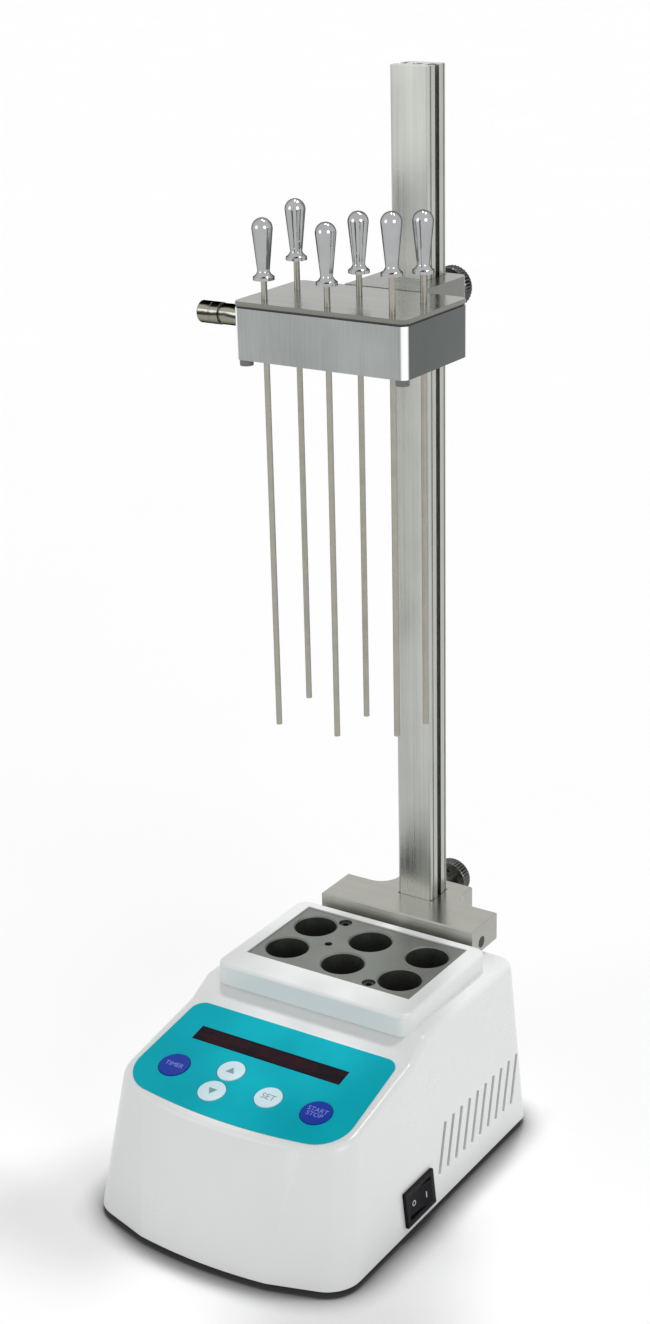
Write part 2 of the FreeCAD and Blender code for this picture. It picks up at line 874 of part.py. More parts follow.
def screw(name, radius, length, head_radius, head_height, x, y, z):
    """An upright screw, its head below: z is the underside of the material it holds."""
    shank = rod(name + "_shank", radius, length, x, y, z)
    head = rod(name + "_head", head_radius, head_height, x, y, z - head_height)
    return fuse(name, head, shank)


def base_screws():
    screws = [screw(f"base_screw_{index}", size["small_screw_radius"],
                    size["base_screw_length"] + size["plate_thickness"], size["small_screw_head"],
                    size["small_screw_head_height"], x, y, size["foot_height"])
              for index, (x, y, _) in enumerate(boss_places())]
    node(group("base_screws", *screws))


# Heating block and heater

def block_top():
    return size["deck_level"] + size["collar_height"] - size["block_drop"]


def block_bottom():
    return block_top() - size["block_height"]


def block_screw_places():
    long = size["well_pitch_long"] - size["block_screw_long"]
    cross = size["well_pitch_cross"] / 2 + size["block_screw_cross"]
    return [(-long, size["block_y"] + cross), (long, size["block_y"] - cross)]


def heating_block():
    body = new_body("heating_block")
    half_long = size["block_length"] / 2
    half_cross = size["block_width"] / 2
    middle = size["block_y"]
    base = sketch_on(body, "block_outline", lift=block_bottom())
    rectangle(base, -half_long, middle - half_cross, half_long, middle + half_cross)
    pad(body, base, size["block_height"])
    wells = sketch_on(body, "block_wells", lift=block_top())
    for x, y in well_places():
        circle(wells, x, y, size["well_radius"])
    pocket(body, wells)
    recesses = sketch_on(body, "block_recesses", lift=block_top())
    for x, y in block_screw_places():
        circle(recesses, x, y, size["block_screw_recess"])
    pocket(body, recesses, block_recess_depth())
    holes = sketch_on(body, "block_holes", lift=block_top())
    for x, y in block_screw_places():
        circle(holes, x, y, size["small_screw_radius"] + 4 * size["screw_gap"])
    pocket(body, holes)
    probe = sketch_on(body, "block_probe", lift=block_top())
    circle(probe, -size["probe_hole_left"], middle, size["probe_hole_radius"])
    pocket(body, probe, size["probe_hole_depth"])
    top = float(block_top())
    dress(body, "Chamfer", "Size", size["well_chamfer"],
          lambda edge: is_circle(edge, size["well_radius"]) and abs(edge.Curve.Center.z - top) < 1e-6)
    node(body)


def block_recess_depth():
    return 2.5 * size["small_screw_head_height"]


def block_screws():
    """Two long screws sunk in the block that hold it on the heater plate."""
    screws = []
    bite = size["heater_plate_thickness"] / 2
    length = size["block_height"] - block_recess_depth() + bite
    seat = block_top() - block_recess_depth()
    for index, (x, y) in enumerate(block_screw_places()):
        shank = rod(f"block_screw_{index}_shank", size["small_screw_radius"], length,
                    x, y, seat - length)
        head = rod(f"block_screw_{index}_head", size["small_screw_head"],
                   2 * size["small_screw_head_height"], x, y, seat)
        socket = rod(f"block_screw_{index}_socket", size["small_screw_radius"] * 0.8,
                     size["small_screw_head_height"] * 2, x, y, seat + size["small_screw_head_height"])
        screws.append(cut(f"block_screw_{index}", fuse(f"block_screw_{index}_solid", head, shank), socket))
    node(group("block_screws", *screws))


def heater_plate():
    thickness = size["heater_plate_thickness"]
    bottom = block_bottom() - thickness
    blank = centred_box("heater_plate_blank", size["block_length"], size["block_width"], thickness,
                        0.0, size["block_y"], bottom)
    radius = size["small_screw_radius"] + size["screw_gap"]
    holes = [rod(f"heater_plate_hole_{index}", radius, 3 * thickness, x, y, bottom - thickness)
             for index, (x, y) in enumerate(block_screw_places())]
    front = size["block_y"] - size["block_width"] / 2
    holes.append(rod("heater_plate_probe", size["sensor_radius"] + size["screw_gap"],
                     2 * size["sensor_length"], 0.0, front - size["sensor_length"],
                     bottom + thickness / 2, "y"))
    node(cut("heater_plate", blank, *holes))
    node(rod("temperature_sensor", size["sensor_radius"], size["sensor_length"] - 1.0,
             0.0, front, bottom + thickness / 2, "y"))


def film_bottom():
    return block_bottom() - size["heater_plate_thickness"] - size["heater_film_thickness"]


def film_heater():
    margin = 2 * size["heater_film_margin"]
    length = size["block_length"] - margin
    node(centred_box("film_heater", length, size["block_width"] - margin,
                     size["heater_film_thickness"], 0.0, size["block_y"], film_bottom()))


def insulation():
    """The foam sleeve round the block, on a sheet tray with four posts."""
    gap = 2 * size["sleeve_gap"]
    outer = 2 * size["sleeve_wall"] + gap
    ceiling = size["deck_level"] - size["wall"] - size["sleeve_headroom"]
    middle = size["block_y"]
    bottom = film_bottom()
    blank = centred_box("sleeve_blank", size["block_length"] + outer, size["block_width"] + outer,
                        ceiling - bottom, 0.0, middle, bottom)
    hollow = centred_box("sleeve_hollow", size["block_length"] + gap, size["block_width"] + gap,
                         2 * (ceiling - bottom), 0.0, middle, bottom - size["sleeve_wall"])
    node(cut("insulation_sleeve", blank, hollow))
    tray = bottom - size["tray_thickness"]
    length = size["block_length"] + outer
    width = size["block_width"] + outer
    node(centred_box("support_tray", length, width, size["tray_thickness"], 0.0, middle, tray))
    floor = size["foot_height"] + size["plate_thickness"]
    side = length / 2 - size["post_inset"]
    cross = width / 2 - size["post_inset"]
    posts = [rod(f"support_post_{x_sign}_{y_sign}".replace("-", "n"), size["post_radius"],
                 tray - floor, x_sign * side, middle + y_sign * cross, floor)
             for x_sign in (-1, 1) for y_sign in (-1, 1)]
    node(group("support_posts", *posts))
    node(rod("thermal_cutoff", size["cutoff_radius"], size["cutoff_height"], 0.0, middle,
             tray - size["cutoff_height"]))


# Panel

def overlay():
    """The flat printed overlay with a window and five round holes."""
    body = new_body("panel_overlay")
    back = size["overlay_back_width"] / 2
    front = size["overlay_front_width"] / 2
    length = size["overlay_length"]
    shape = sketch_on(body, "overlay_outline")
    outline(shape, [(front, -length, size["overlay_bow"]), (back, 0.0), (-back, 0.0), (-front, -length)])
    pad(body, shape, size["overlay_thickness"])
    openings = sketch_on(body, "overlay_openings", lift=size["overlay_thickness"])
    middle = size["window_middle"]
    reach = size["window_length"] / 2 + size["window_gap"]
    drop = size["window_width"] / 2 + size["window_gap"]
    rectangle(openings, middle - reach, -size["window_down"] - drop,
              middle + reach, drop - size["window_down"])
    for colour, x, along in KEYS.values():
        circle(openings, x, along, size[f"{colour}_key_radius"] + size["key_gap"])
    pocket(body, openings)
    line = float(-length)
    dress(body, "Fillet", "Radius", size["overlay_front_corner"],
          lambda edge: is_upright(edge) and abs(edge.Vertexes[0].Y - line) < 1e-6)
    dress(body, "Fillet", "Radius", size["overlay_back_corner"],
          lambda edge: is_upright(edge) and abs(edge.Vertexes[0].Y) < 1e-6)
    place_on_panel(body, 0.0, 0.0, 0.0)
    node(body)


def display():
    """The dark window and the display behind it."""
    drop = -size["window_down"]
    middle = size["window_middle"]
    depth = size["wall"] + size["overlay_thickness"]
    node(panel_box("display_window", size["window_length"], size["window_width"], depth,
                   middle, drop, -size["wall"]))
    margin = 2 * size["display_margin"]
    height = size["board_depth"] - size["wall"] - size["key_free"]
    node(panel_box("display_module", size["window_length"] + margin, size["display_depth"],
                   height, middle, drop, -size["board_depth"]))


def key(name, rim, x, along):
    """A round key: cap, retaining lip below the wall and a stem to its switch."""
    top = size["overlay_thickness"] + size["key_proud"]
    lip_top = -size["wall"] - size["key_free"]
    lip_bottom = lip_top - size["key_lip_thickness"]
    stem_bottom = key_switch_top() + size["key_travel"] + size["key_free"]
    body = new_body(name)
    profile = sketch_on(body, f"{name}_profile", "XZ_Plane")
    lip = rim + size["key_lip"]
    stem = size["key_stem_radius"]
    outline(profile, [(0.0, top), (0.0, stem_bottom), (stem, stem_bottom), (stem, lip_bottom),
                      (lip, lip_bottom), (lip, lip_top), (rim, lip_top), (rim, top)])
    revolution(body, profile)
    top_height = float(top)
    dress(body, "Fillet", "Radius", size["key_proud"],
          lambda edge: is_circle(edge, rim) and abs(edge.Curve.Center.z - top_height) < 1e-6)
    place_on_panel(body, x, along, 0.0)
    node(body)


def key_switch_top():
    return -size["board_depth"] + 0.6 * size["key_switch_size"]


def control_board():
    """The board under the panel with its screws and one small switch under each key."""
    length = size["board_length"]
    middle = size["board_top"] - length / 2
    board_out = -size["board_depth"] - size["board_thickness"]
    blank = panel_box("control_board_blank", 2 * size["board_half_width"], length,
                      size["board_thickness"], 0.0, middle, board_out)
    hole = size["small_screw_radius"] + size["screw_gap"]
    holes = [panel_rod(f"control_board_hole_{index}", hole, 3 * size["board_thickness"], x, along,
                       board_out - size["board_thickness"])
             for index, (x, along) in enumerate(board_post_places())]
    node(cut("control_board", blank, *holes))
    side = size["key_switch_size"]
    switches = []
    for name, (_, x, along) in KEYS.items():
        base_height = 0.5 * side
        base = panel_box(f"{name}_switch_base", side, side, base_height, x,
                         along, -size["board_depth"])
        plunger = panel_rod(f"{name}_switch_plunger", 0.3 * side, 0.1 * side, x, along,
                            base_height - size["board_depth"])
        switches.append(fuse(f"{name}_switch", base, plunger))
    node(group("key_switches", *switches))
    screws = []
    for index, (x, along) in enumerate(board_post_places()):
        shank = panel_rod(f"board_screw_{index}_shank", size["small_screw_radius"],
                          size["board_thickness"] + size["board_depth"] / 2, x, along, board_out)
        head = panel_rod(f"board_screw_{index}_head", size["small_screw_head"],
                         size["small_screw_head_height"], x, along,
                         board_out - size["small_screw_head_height"])
        screws.append(fuse(f"board_screw_{index}", head, shank))
    node(group("board_screws", *screws))


# Power

def power_board():
    floor = size["foot_height"] + size["plate_thickness"]
    bottom = floor + size["power_board_height"]
    length = size["power_board_length"]
    width = size["power_board_width"]
    middle = size["power_board_middle"]
    blank = centred_box("power_board_blank", length, width, size["board_thickness"], 0.0, middle, bottom)
    top = bottom + size["board_thickness"]
    sink = centred_box("power_board_heatsink", length / 3, width / 10, size["transformer_height"],
                       length / 4, middle - width / 3, top)
    capacitors = [rod(f"power_board_capacitor_{index}", width / 10, 0.8 * size["transformer_height"],
                      length / 6 + index * width / 4, middle + width / 6, top) for index in (0, 1)]
    node(fuse("power_board", blank, sink, *capacitors))
    node(centred_box("transformer", size["transformer_length"], size["transformer_width"],
                     size["transformer_height"], -length / 5, middle, top))
    inset = size["post_inset"]
    posts = [rod(f"power_post_{x_sign}_{y_sign}".replace("-", "n"), size["board_post_radius"],
                 size["power_board_height"], x_sign * (length / 2 - inset),
                 middle + y_sign * (width / 2 - inset), floor)
             for x_sign in (-1, 1) for y_sign in (-1, 1)]
    node(group("power_board_posts", *posts))


def power_socket():
    """A round low-voltage socket, turned about its own axis, with its centre pin."""
    body = new_body("power_socket")
    profile = sketch_on(body, "socket_profile", "XZ_Plane")
    depth = size["socket_depth"]
    flange = size["socket_flange"]
    thickness = size["socket_flange_thickness"]
    bore = size["socket_bore"]
    bottom = thickness - size["socket_bore_depth"]
    pin = size["socket_pin"]
    outline(profile, [(0.0, -depth), (size["socket_radius"], -depth), (size["socket_radius"], 0.0),
                      (flange, 0.0), (flange, thickness), (bore, thickness), (bore, bottom),
                      (pin, bottom), (pin, thickness - pin), (0.0, thickness - pin)])
    revolution(body, profile)
    place(body, size["socket_x"], size["base_length"] / 2, size["socket_level"], "y")
    node(body)


def rocker_switch():
    """The switch body in the side wall and the rocker that tips in it."""
    length = size["switch_length"]
    width = size["switch_width"]
    rim = size["switch_rim"]
    depth = size["switch_depth"]
    bezel = size["switch_bezel"]
    gap = size["switch_gap"]
    plate = place_on_side(box("switch_plate", bezel, length, width), 0.0, -length / 2, -width / 2)
    trunk_length = length - rim / 2 - 2 * gap
    trunk_width = width - rim / 2 - 2 * gap
    trunk = place_on_side(box("switch_trunk", depth, trunk_length, trunk_width), -depth,
                          -trunk_length / 2, -trunk_width / 2)
    cavity_length = length - 2 * rim
    cavity_width = width - 2 * rim + 2 * gap
    cavity = place_on_side(box("switch_cavity", depth, cavity_length, cavity_width),
                           bezel + 2 * rim / 5 - depth + gap, -cavity_length / 2, -cavity_width / 2)
    node(cut("switch_housing", fuse("switch_solid", plate, trunk), cavity))
    rocker(cavity_width - 2 * size["rocker_gap"])


def rocker(width):
    """A shallow V over a belly that is round about the axle, which runs up the wall."""
    body = new_body("rocker")
    half = size["rocker_half_length"]
    proud = size["switch_bezel"] / 2
    profile = sketch_on(body, "rocker_profile")
    bend = half * 8
    belly = half * 0.97
    outline(profile, [(-belly * 0.8, -belly * 0.6, belly), (proud, -half), (2 * proud, -belly),
                      (proud, 0.0), (2 * proud, belly, -bend), (proud, half),
                      (-belly * 0.8, belly * 0.6)])
    pad(body, profile, width)
    draft = wall_draft()
    middle = side_wall_x(switch_level())
    x = middle + width / 2 * sine(draft)
    z = switch_level() - width / 2 * cosine(draft)
    place(body, x, size["switch_y"], z)
    lean = Rotation(Vector(0, -1, 0), float(draft))
    tip = Rotation(Vector(0, 0, 1), -float(size["rocker_throw"]) / 2)
    body.Placement.Rotation = lean.multiply(tip)
    node(body)


# Column, bracket and clamps

def column_back():
    return size["column_front"] + size["column_depth"]


def column():
    """An extruded bar with a T-slot in each side and a bore, open at its top."""
    body = new_body("column")
    half = size["column_width"] / 2
    front = size["column_front"]
    middle = front + size["column_depth"] / 2
    back = column_back()
    mouth = size["slot_mouth"] / 2
    inside = size["slot_inside"] / 2
    lip = size["slot_lip"]
    depth = size["slot_depth"]
    section = sketch_on(body, "column_section", lift=size["column_foot"])

    def side(sign):
        """The corners of one side, front to back."""
        edge = sign * half
        return [(edge, front), (edge, middle - mouth), (sign * (half - lip), middle - mouth),
                (sign * (half - lip), middle - inside), (sign * (half - depth), middle - inside),
                (sign * (half - depth), middle + inside), (sign * (half - lip), middle + inside),
                (sign * (half - lip), middle + mouth), (edge, middle + mouth), (edge, back)]

    outline(section, side(1) + side(-1)[::-1])
    pad(body, section, size["column_length"])
    bore = sketch_on(body, "column_bores", lift=size["column_foot"] + size["column_length"])
    circle(bore, 0.0, middle, size["column_bore"])
    pocket(body, bore)
    groove = size["line_groove"]
    lines = sketch_on(body, "column_lines", lift=size["column_foot"] + size["column_length"])
    reach = (size["column_depth"] / 2 - inside) / 2 + inside
    for sign in (-1, 1):
        for offset in (-reach, reach):
            rectangle(lines, sign * half - groove, middle + offset - groove,
                      sign * half + groove, middle + offset + groove)
    pocket(body, lines)
    corner_points = [(sign * float(half), y) for sign in (-1, 1) for y in (float(front), float(back))]
    dress(body, "Fillet", "Radius", size["column_round"],
          lambda edge: is_upright(edge) and any(
              abs(edge.Vertexes[0].X - x) < 1e-6 and abs(edge.Vertexes[0].Y - y) < 1e-6
              for x, y in corner_points))
    node(body)


def column_passage(body, level, height):
    """The square hole that the column runs through."""
    gap = size["column_gap"]
    half = size["column_width"] / 2 + gap
    hole = sketch_on(body, f"{body.Name}_passage", lift=level + height)
    rectangle(hole, -half, size["column_front"] - gap, half, column_back() + gap)
    pocket(body, hole)


def clamp_holes(body, level):
    """A plain hole for the clamp screw and a wider pocket for its pad, along Y.
    The sketches lie on the XZ plane, whose normal points forward."""
    wall_start = column_back() + size["column_gap"]
    hole = sketch_on(body, f"{body.Name}_screw_hole", "XZ_Plane", -wall_start)
    circle(hole, 0.0, level, size["clamp_screw_radius"] + size["clamp_hole_gap"])
    pocket(body, hole, size["bracket_stem_end"])
    recess = sketch_on(body, f"{body.Name}_pad_pocket", "XZ_Plane", -wall_start)
    circle(recess, 0.0, level, size["clamp_pad_radius"] + size["clamp_pocket_gap"])
    pocket(body, recess, size["clamp_pocket_depth"])


def column_bracket():
    """A T-shaped plate: a bar on the deck and a stem behind, through which the column runs."""
    body = new_body("column_bracket")
    half = size["bracket_length"] / 2
    stem = size["bracket_stem_width"] / 2
    front = size["bracket_front"]
    back = front + size["bracket_bar"]
    end = size["bracket_stem_end"]
    level = size["deck_level"]
    thickness = size["bracket_thickness"]
    plan = sketch_on(body, "bracket_plan", lift=level)
    outline(plan, [(-half, front), (half, front), (half, back), (stem, back), (stem, end),
                   (-stem, end), (-stem, back), (-half, back)])
    pad(body, plan, thickness)
    inner = (float(stem), float(back))
    dress(body, "Fillet", "Radius", size["bracket_fillet"],
          lambda edge: is_upright(edge) and abs(abs(edge.Vertexes[0].X) - inner[0]) < 1e-6
          and abs(edge.Vertexes[0].Y - inner[1]) < 1e-6)
    top = float(level + thickness)
    dress(body, "Chamfer", "Size", size["bracket_edge"],
          lambda edge: all(abs(v.Z - top) < 1e-6 for v in edge.Vertexes))
    column_passage(body, level, thickness)
    clamp_holes(body, size["lower_clamp_level"])
    screws = sketch_on(body, "bracket_screw_holes", lift=level)
    for x, y in bracket_screw_places():
        circle(screws, x, y, size["bracket_screw_radius"] + size["screw_gap"])
    pocket(body, screws, size["bracket_screw_bite"] + size["bracket_edge"], upward=True)
    for side, sign in (("left", -1), ("right", 1)):
        hole = sketch_on(body, f"set_screw_hole_{side}", "YZ_Plane", sign * half)
        circle(hole, front + size["set_screw_inset"], level + size["set_screw_rise"],
               size["set_screw_radius"] + size["screw_gap"])
        pocket(body, hole, size["set_screw_depth"] + size["bracket_edge"], upward=sign < 0)
    node(body)


def bracket_screws():
    """Two screws from inside the housing up into the bracket, and a set screw in each end."""
    screws = []
    for index, (x, y) in enumerate(bracket_screw_places()):
        screws.append(screw(f"bracket_screw_{index}", size["bracket_screw_radius"],
                            size["wall"] + size["bracket_screw_bite"], size["small_screw_head"],
                            size["small_screw_head_height"], x, y, size["deck_level"] - size["wall"]))
    depth = size["set_screw_depth"]
    y = size["bracket_front"] + size["set_screw_inset"]
    z = size["deck_level"] + size["set_screw_rise"]
    for side, start in (("left", -size["bracket_length"] / 2), ("right", size["bracket_length"] / 2 - depth)):
        screws.append(rod(f"set_screw_{side}", size["set_screw_radius"], depth, start, y, z, "x"))
    node(group("bracket_screws", *screws))


def clamp(prefix, level):
    """A knurled knob, its screw and the pad that presses on the column, along Y."""
    pad_start = column_back() + size["clamp_pad_gap"]
    pad_end = pad_start + size["clamp_pad_thickness"]
    node(rod(f"{prefix}_clamp_pad", size["clamp_pad_radius"], size["clamp_pad_thickness"],
             0.0, pad_start, level, "y"))
    seat = size["knob_front"] + size["knob_thickness"] / 2
    node(rod(f"{prefix}_clamp_screw", size["clamp_screw_radius"], seat - pad_end, 0.0, pad_end, level, "y"))
    knob(f"{prefix}_knob", level)


def knob(name, level):
    """A knurled disc with four dimples in the face towards the column."""
    body = new_body(name)
    radius = size["knob_radius"]
    thickness = size["knob_thickness"]
    bevel = size["knob_bevel"]
    bore = size["clamp_screw_radius"]
    half = thickness / 2
    profile = sketch_on(body, f"{name}_profile", "XZ_Plane")
    outline(profile, [(bore, 0.0), (radius - bevel, 0.0), (radius, bevel), (radius, thickness - bevel),
                      (radius - bevel, thickness), (0.0, thickness), (0.0, half), (bore, half)])
    revolution(body, profile)
    dimples = sketch_on(body, f"{name}_dimples")
    ring = size["dimple_circle"]
    for x, y in ((ring, 0.0), (-ring, 0.0), (0.0, ring), (0.0, -ring)):
        circle(dimples, x, y, size["dimple_radius"])
    pocket(body, dimples, size["dimple_depth"], upward=True)
    knurl = sketch_on(body, f"{name}_knurl")
    depth = size["knurl_depth"]
    spread = depth * 1.1
    outline(knurl, [(radius - depth, 0.0), (radius + depth, -2 * spread), (radius + depth, 2 * spread)])
    groove = pocket(body, knurl, upward=True)
    pattern = body.newObject("PartDesign::PolarPattern", f"{name}_knurling")
    pattern.Originals = [groove]
    pattern.Axis = (knurl, ["N_Axis"])
    pattern.Angle = 360.0
    pattern.Occurrences = int(float(size["knob_knurls"]))
    bind(pattern, "Occurrences", size["knob_knurls"])
    body.Tip = pattern
    place(body, 0.0, size["knob_front"], level, "y")
    node(body)


# Carriage and manifold

def manifold_back():
    return size["manifold_front"] + size["manifold_width"]


def upper_clamp_level():
    return size["carriage_level"] + size["upper_clamp_rise"]


def carriage():
    """The block behind the manifold that slides on the column."""
    body = new_body("carriage")
    half = size["carriage_width"] / 2
    level = size["carriage_level"]
    height = size["carriage_height"]
    plan = sketch_on(body, "carriage_plan", lift=level)
    rectangle(plan, -half, manifold_back(), half, size["carriage_back"])
    pad(body, plan, height)
    dress(body, "Fillet", "Radius", size["carriage_corner"],
          lambda edge: is_upright(edge) and edge.Vertexes[0].Y > float(column_back()))
    boss = sketch_on(body, "carriage_boss", "XZ_Plane", -size["bracket_stem_end"])
    circle(boss, 0.0, upper_clamp_level(), size["carriage_boss_radius"])
    pad(body, boss, size["bracket_stem_end"] - size["carriage_back"] + 1.0)
    column_passage(body, level, height)
    clamp_holes(body, upper_clamp_level())
    holes = sketch_on(body, "carriage_screw_holes", "XZ_Plane", -manifold_back())
    for sign in (-1, 1):
        circle(holes, sign * size["carriage_screw_spacing"] / 2, chamber_middle(),
               size["small_screw_radius"] + size["screw_gap"])
    pocket(body, holes, size["carriage_screw_bite"] + 1.0)
    node(body)


def chamber_floor():
    return manifold_seam() - size["chamber_depth"]


def chamber_middle():
    return manifold_seam() - size["chamber_depth"] / 2


def manifold_seam():
    """The level where the gasket lies on the manifold's body."""
    return size["manifold_level"] + size["manifold_body_height"]


def manifold_screw_places():
    """The four screws under the manifold, with how deep their heads are sunk."""
    inset = size["manifold_screw_inset"]
    side = size["manifold_length"] / 2 - inset
    recess = size["manifold_screw_head_height"]
    rows = ((size["manifold_front"] + inset, 0.0), (manifold_back() - inset, recess))
    return [(x, y, sunk) for y, sunk in rows for x in (-side, side)]


def manifold_body():
    """A milled box, open on top, with a hole and a ring seat for each needle."""
    body = new_body("manifold_body")
    half = size["manifold_length"] / 2
    front = size["manifold_front"]
    back = manifold_back()
    wall = size["chamber_wall"]
    plan = sketch_on(body, "manifold_plan", lift=size["manifold_level"])
    rectangle(plan, -half, front, half, back)
    pad(body, plan, size["manifold_body_height"])
    dress(body, "Fillet", "Radius", size["manifold_corner"], is_upright)
    chamber = sketch_on(body, "manifold_chamber", lift=manifold_seam())
    rectangle(chamber, wall - half, front + wall, half - wall, back - wall)
    pocket(body, chamber, size["chamber_depth"])
    inside = float(half - wall)
    dress(body, "Fillet", "Radius", size["chamber_corner"],
          lambda edge: is_upright(edge) and abs(abs(edge.Vertexes[0].X) - inside) < 1e-6)
    rings = sketch_on(body, "manifold_ring_seats", lift=chamber_floor())
    holes = sketch_on(body, "manifold_needle_holes", lift=chamber_floor())
    for x, y in well_places():
        circle(rings, x, y, size["seal_ring"] + size["seal_thickness"] + size["needle_gap"])
        circle(holes, x, y, size["needle_radius"] + size["needle_gap"])
    pocket(body, rings, 3 * size["seal_thickness"])
    pocket(body, holes)
    screws = sketch_on(body, "manifold_screw_holes", lift=manifold_seam())
    sinks = sketch_on(body, "manifold_screw_sinks", lift=size["manifold_level"])
    for x, y, sunk in manifold_screw_places():
        circle(screws, x, y, size["small_screw_radius"] + size["screw_gap"])
        if float(sunk) > 0:
            circle(sinks, x, y, size["manifold_screw_head"] + 2 * size["screw_gap"])
    pocket(body, screws)
    pocket(body, sinks, size["manifold_screw_head_height"], upward=True)
    ties = sketch_on(body, "manifold_tie_holes", "XZ_Plane", -(back - wall - 1.0))
    for sign in (-1, 1):
        circle(ties, sign * size["carriage_screw_spacing"] / 2, chamber_middle(),
               size["small_screw_radius"] + size["screw_gap"])
    pocket(body, ties)
    inlet = sketch_on(body, "manifold_inlet_hole", "YZ_Plane", wall + 1.0 - half)
    circle(inlet, (front + back) / 2, inlet_level(), size["inlet_thread_radius"] + size["screw_gap"])
    pocket(body, inlet)
    node(body)


def inlet_level():
    return size["manifold_level"] + (size["manifold_body_height"] + size["lid_thickness"]
                                     + size["gasket_thickness"]) / 2


def manifold_sheet(name, level, thickness, inset, needle_hole, blind):
    """A flat sheet over the manifold with holes for the needles and the screws."""
    body = new_body(name)
    half = size["manifold_length"] / 2 - inset
    plan = sketch_on(body, f"{name}_plan", lift=level)
    rectangle(plan, -half, size["manifold_front"] + inset, half, manifold_back() - inset)
    pad(body, plan, thickness)
    dress(body, "Fillet", "Radius", size["manifold_corner"] - inset, is_upright)
    needles = sketch_on(body, f"{name}_needle_holes", lift=level)
    for x, y in well_places():
        circle(needles, x, y, needle_hole)
    pocket(body, needles, upward=True)
    screws = sketch_on(body, f"{name}_screw_holes", lift=level)
    for x, y, _ in manifold_screw_places():
        circle(screws, x, y, size["small_screw_radius"] + size["screw_gap"])
    pocket(body, screws, blind, upward=True)
    return body


def manifold_cover():
    """The gasket and the polished lid on it."""
    seam = manifold_seam()
    gasket = size["gasket_thickness"]
    lid = size["lid_thickness"]
    hole = size["needle_radius"] + size["needle_gap"]
    node(manifold_sheet("manifold_gasket", seam, gasket, size["gasket_inset"], hole, 2 * gasket))
    cover = manifold_sheet("manifold_lid", seam + gasket, lid, 0.0, hole, lid * 0.6)
    top = float(seam + gasket + lid)
    half = float(size["manifold_length"] / 2)
    front = float(size["manifold_front"])
    dress(cover, "Chamfer", "Size", size["lid_bevel"],
          lambda edge: all(abs(v.Z - top) < 1e-6 for v in edge.Vertexes)
          and (abs(abs(edge.Vertexes[0].X) - half) < 4 or abs(edge.Vertexes[0].Y - front) < 4)
          and not isinstance(edge.Curve, Part.Circle) or is_lid_corner(edge, top))
    node(cover)


def is_lid_corner(edge, top):
    return is_circle(edge, size["manifold_corner"]) and abs(edge.Curve.Center.z - top) < 1e-6


def manifold_screws():
    """Four screws from below that clamp the lid on the body."""
    length = size["manifold_body_height"] + size["gasket_thickness"] + size["lid_thickness"] / 2
    screws = [screw(f"manifold_screw_{index}", size["small_screw_radius"], length - sunk,
                    size["manifold_screw_head"], size["manifold_screw_head_height"], x, y,
                    size["manifold_level"] + sunk)
              for index, (x, y, sunk) in enumerate(manifold_screw_places())]
    node(group("manifold_screws", *screws))


def carriage_screws():
    """Two screws from inside the chamber that hold the manifold on the carriage."""
    seat = manifold_back() - size["chamber_wall"]
    head = 1.5 * size["small_screw_head_height"]
    screws = []
    for index, sign in enumerate((-1, 1)):
        x = sign * size["carriage_screw_spacing"] / 2
        shank = rod(f"carriage_screw_{index}_shank", size["small_screw_radius"],
                    size["chamber_wall"] + size["carriage_screw_bite"], x, seat, chamber_middle(), "y")
        cap = rod(f"carriage_screw_{index}_head", size["small_screw_head"], head,
                  x, seat - head, chamber_middle(), "y")
        screws.append(fuse(f"carriage_screw_{index}", cap, shank))
    node(group("carriage_screws", *screws))


def needle_seals():
    """One ring seal round each needle in the chamber's floor."""
    rings = []
    for index, (x, y) in enumerate(well_places()):
        ring = document.addObject("Part::Torus", f"needle_seal_{index}")
        bind(ring, "Radius1", size["seal_ring"])
        bind(ring, "Radius2", size["seal_thickness"])
        rings.append(place(ring, x, y, chamber_floor() - 2 * size["seal_thickness"]))
    node(group("needle_seals", *rings))


def gas_inlet():
    """A hose nipple along -X: thread, hexagon nut, neck, ring and barrel, and its washer."""
    body = new_body("gas_inlet")
    washer = size["washer_thickness"]
    reach = size["inlet_reach"]
    nut = washer + size["inlet_hex_length"]
    neck = size["inlet_neck_radius"]
    barb = size["inlet_barb_radius"]
    bore = size["inlet_bore"]
    bevel = bore / 4
    thread = -size["chamber_wall"] - 1.0
    barrel = reach - size["inlet_barb_length"]
    sleeve = size["inlet_sleeve_radius"]
    groove = barb / 4
    line = reach - 0.6 * size["inlet_barb_length"]
    profile = sketch_on(body, "inlet_profile", "XZ_Plane")
    outline(profile, [(bore, thread), (size["inlet_thread_radius"], thread),
                      (size["inlet_thread_radius"], washer), (size["inlet_hex_radius"], washer),
                      (size["inlet_hex_radius"], nut), (sleeve, nut), (sleeve, barrel - groove),
                      (neck, barrel - groove), (neck, barrel), (barb, barrel),
                      (barb, line - groove / 4), (barb - bevel / 2, line - groove / 4),
                      (barb - bevel / 2, line + groove / 4), (barb, line + groove / 4),
                      (barb, reach - bevel), (barb - bevel, reach), (bore, reach)])
    revolution(body, profile)
    hexagon = sketch_on(body, "inlet_hexagon", lift=washer)
    outline(hexagon, hexagon_points(size["inlet_hex_radius"]))
    circle(hexagon, 0.0, 0.0, 2 * size["inlet_hex_radius"])
    pocket(body, hexagon, size["inlet_hex_length"], upward=True)
    x = -size["manifold_length"] / 2
    y = (size["manifold_front"] + manifold_back()) / 2
    aim_left(place(body, x, y, inlet_level()))
    node(body)
    ring = rod("inlet_washer_blank", size["inlet_hex_radius"], washer, x, y, inlet_level())
    hole = rod("inlet_washer_hole", size["inlet_thread_radius"] + size["screw_gap"], 3 * washer,
               x + washer, y, inlet_level())
    node(cut("inlet_washer", aim_left(ring), aim_left(hole)))


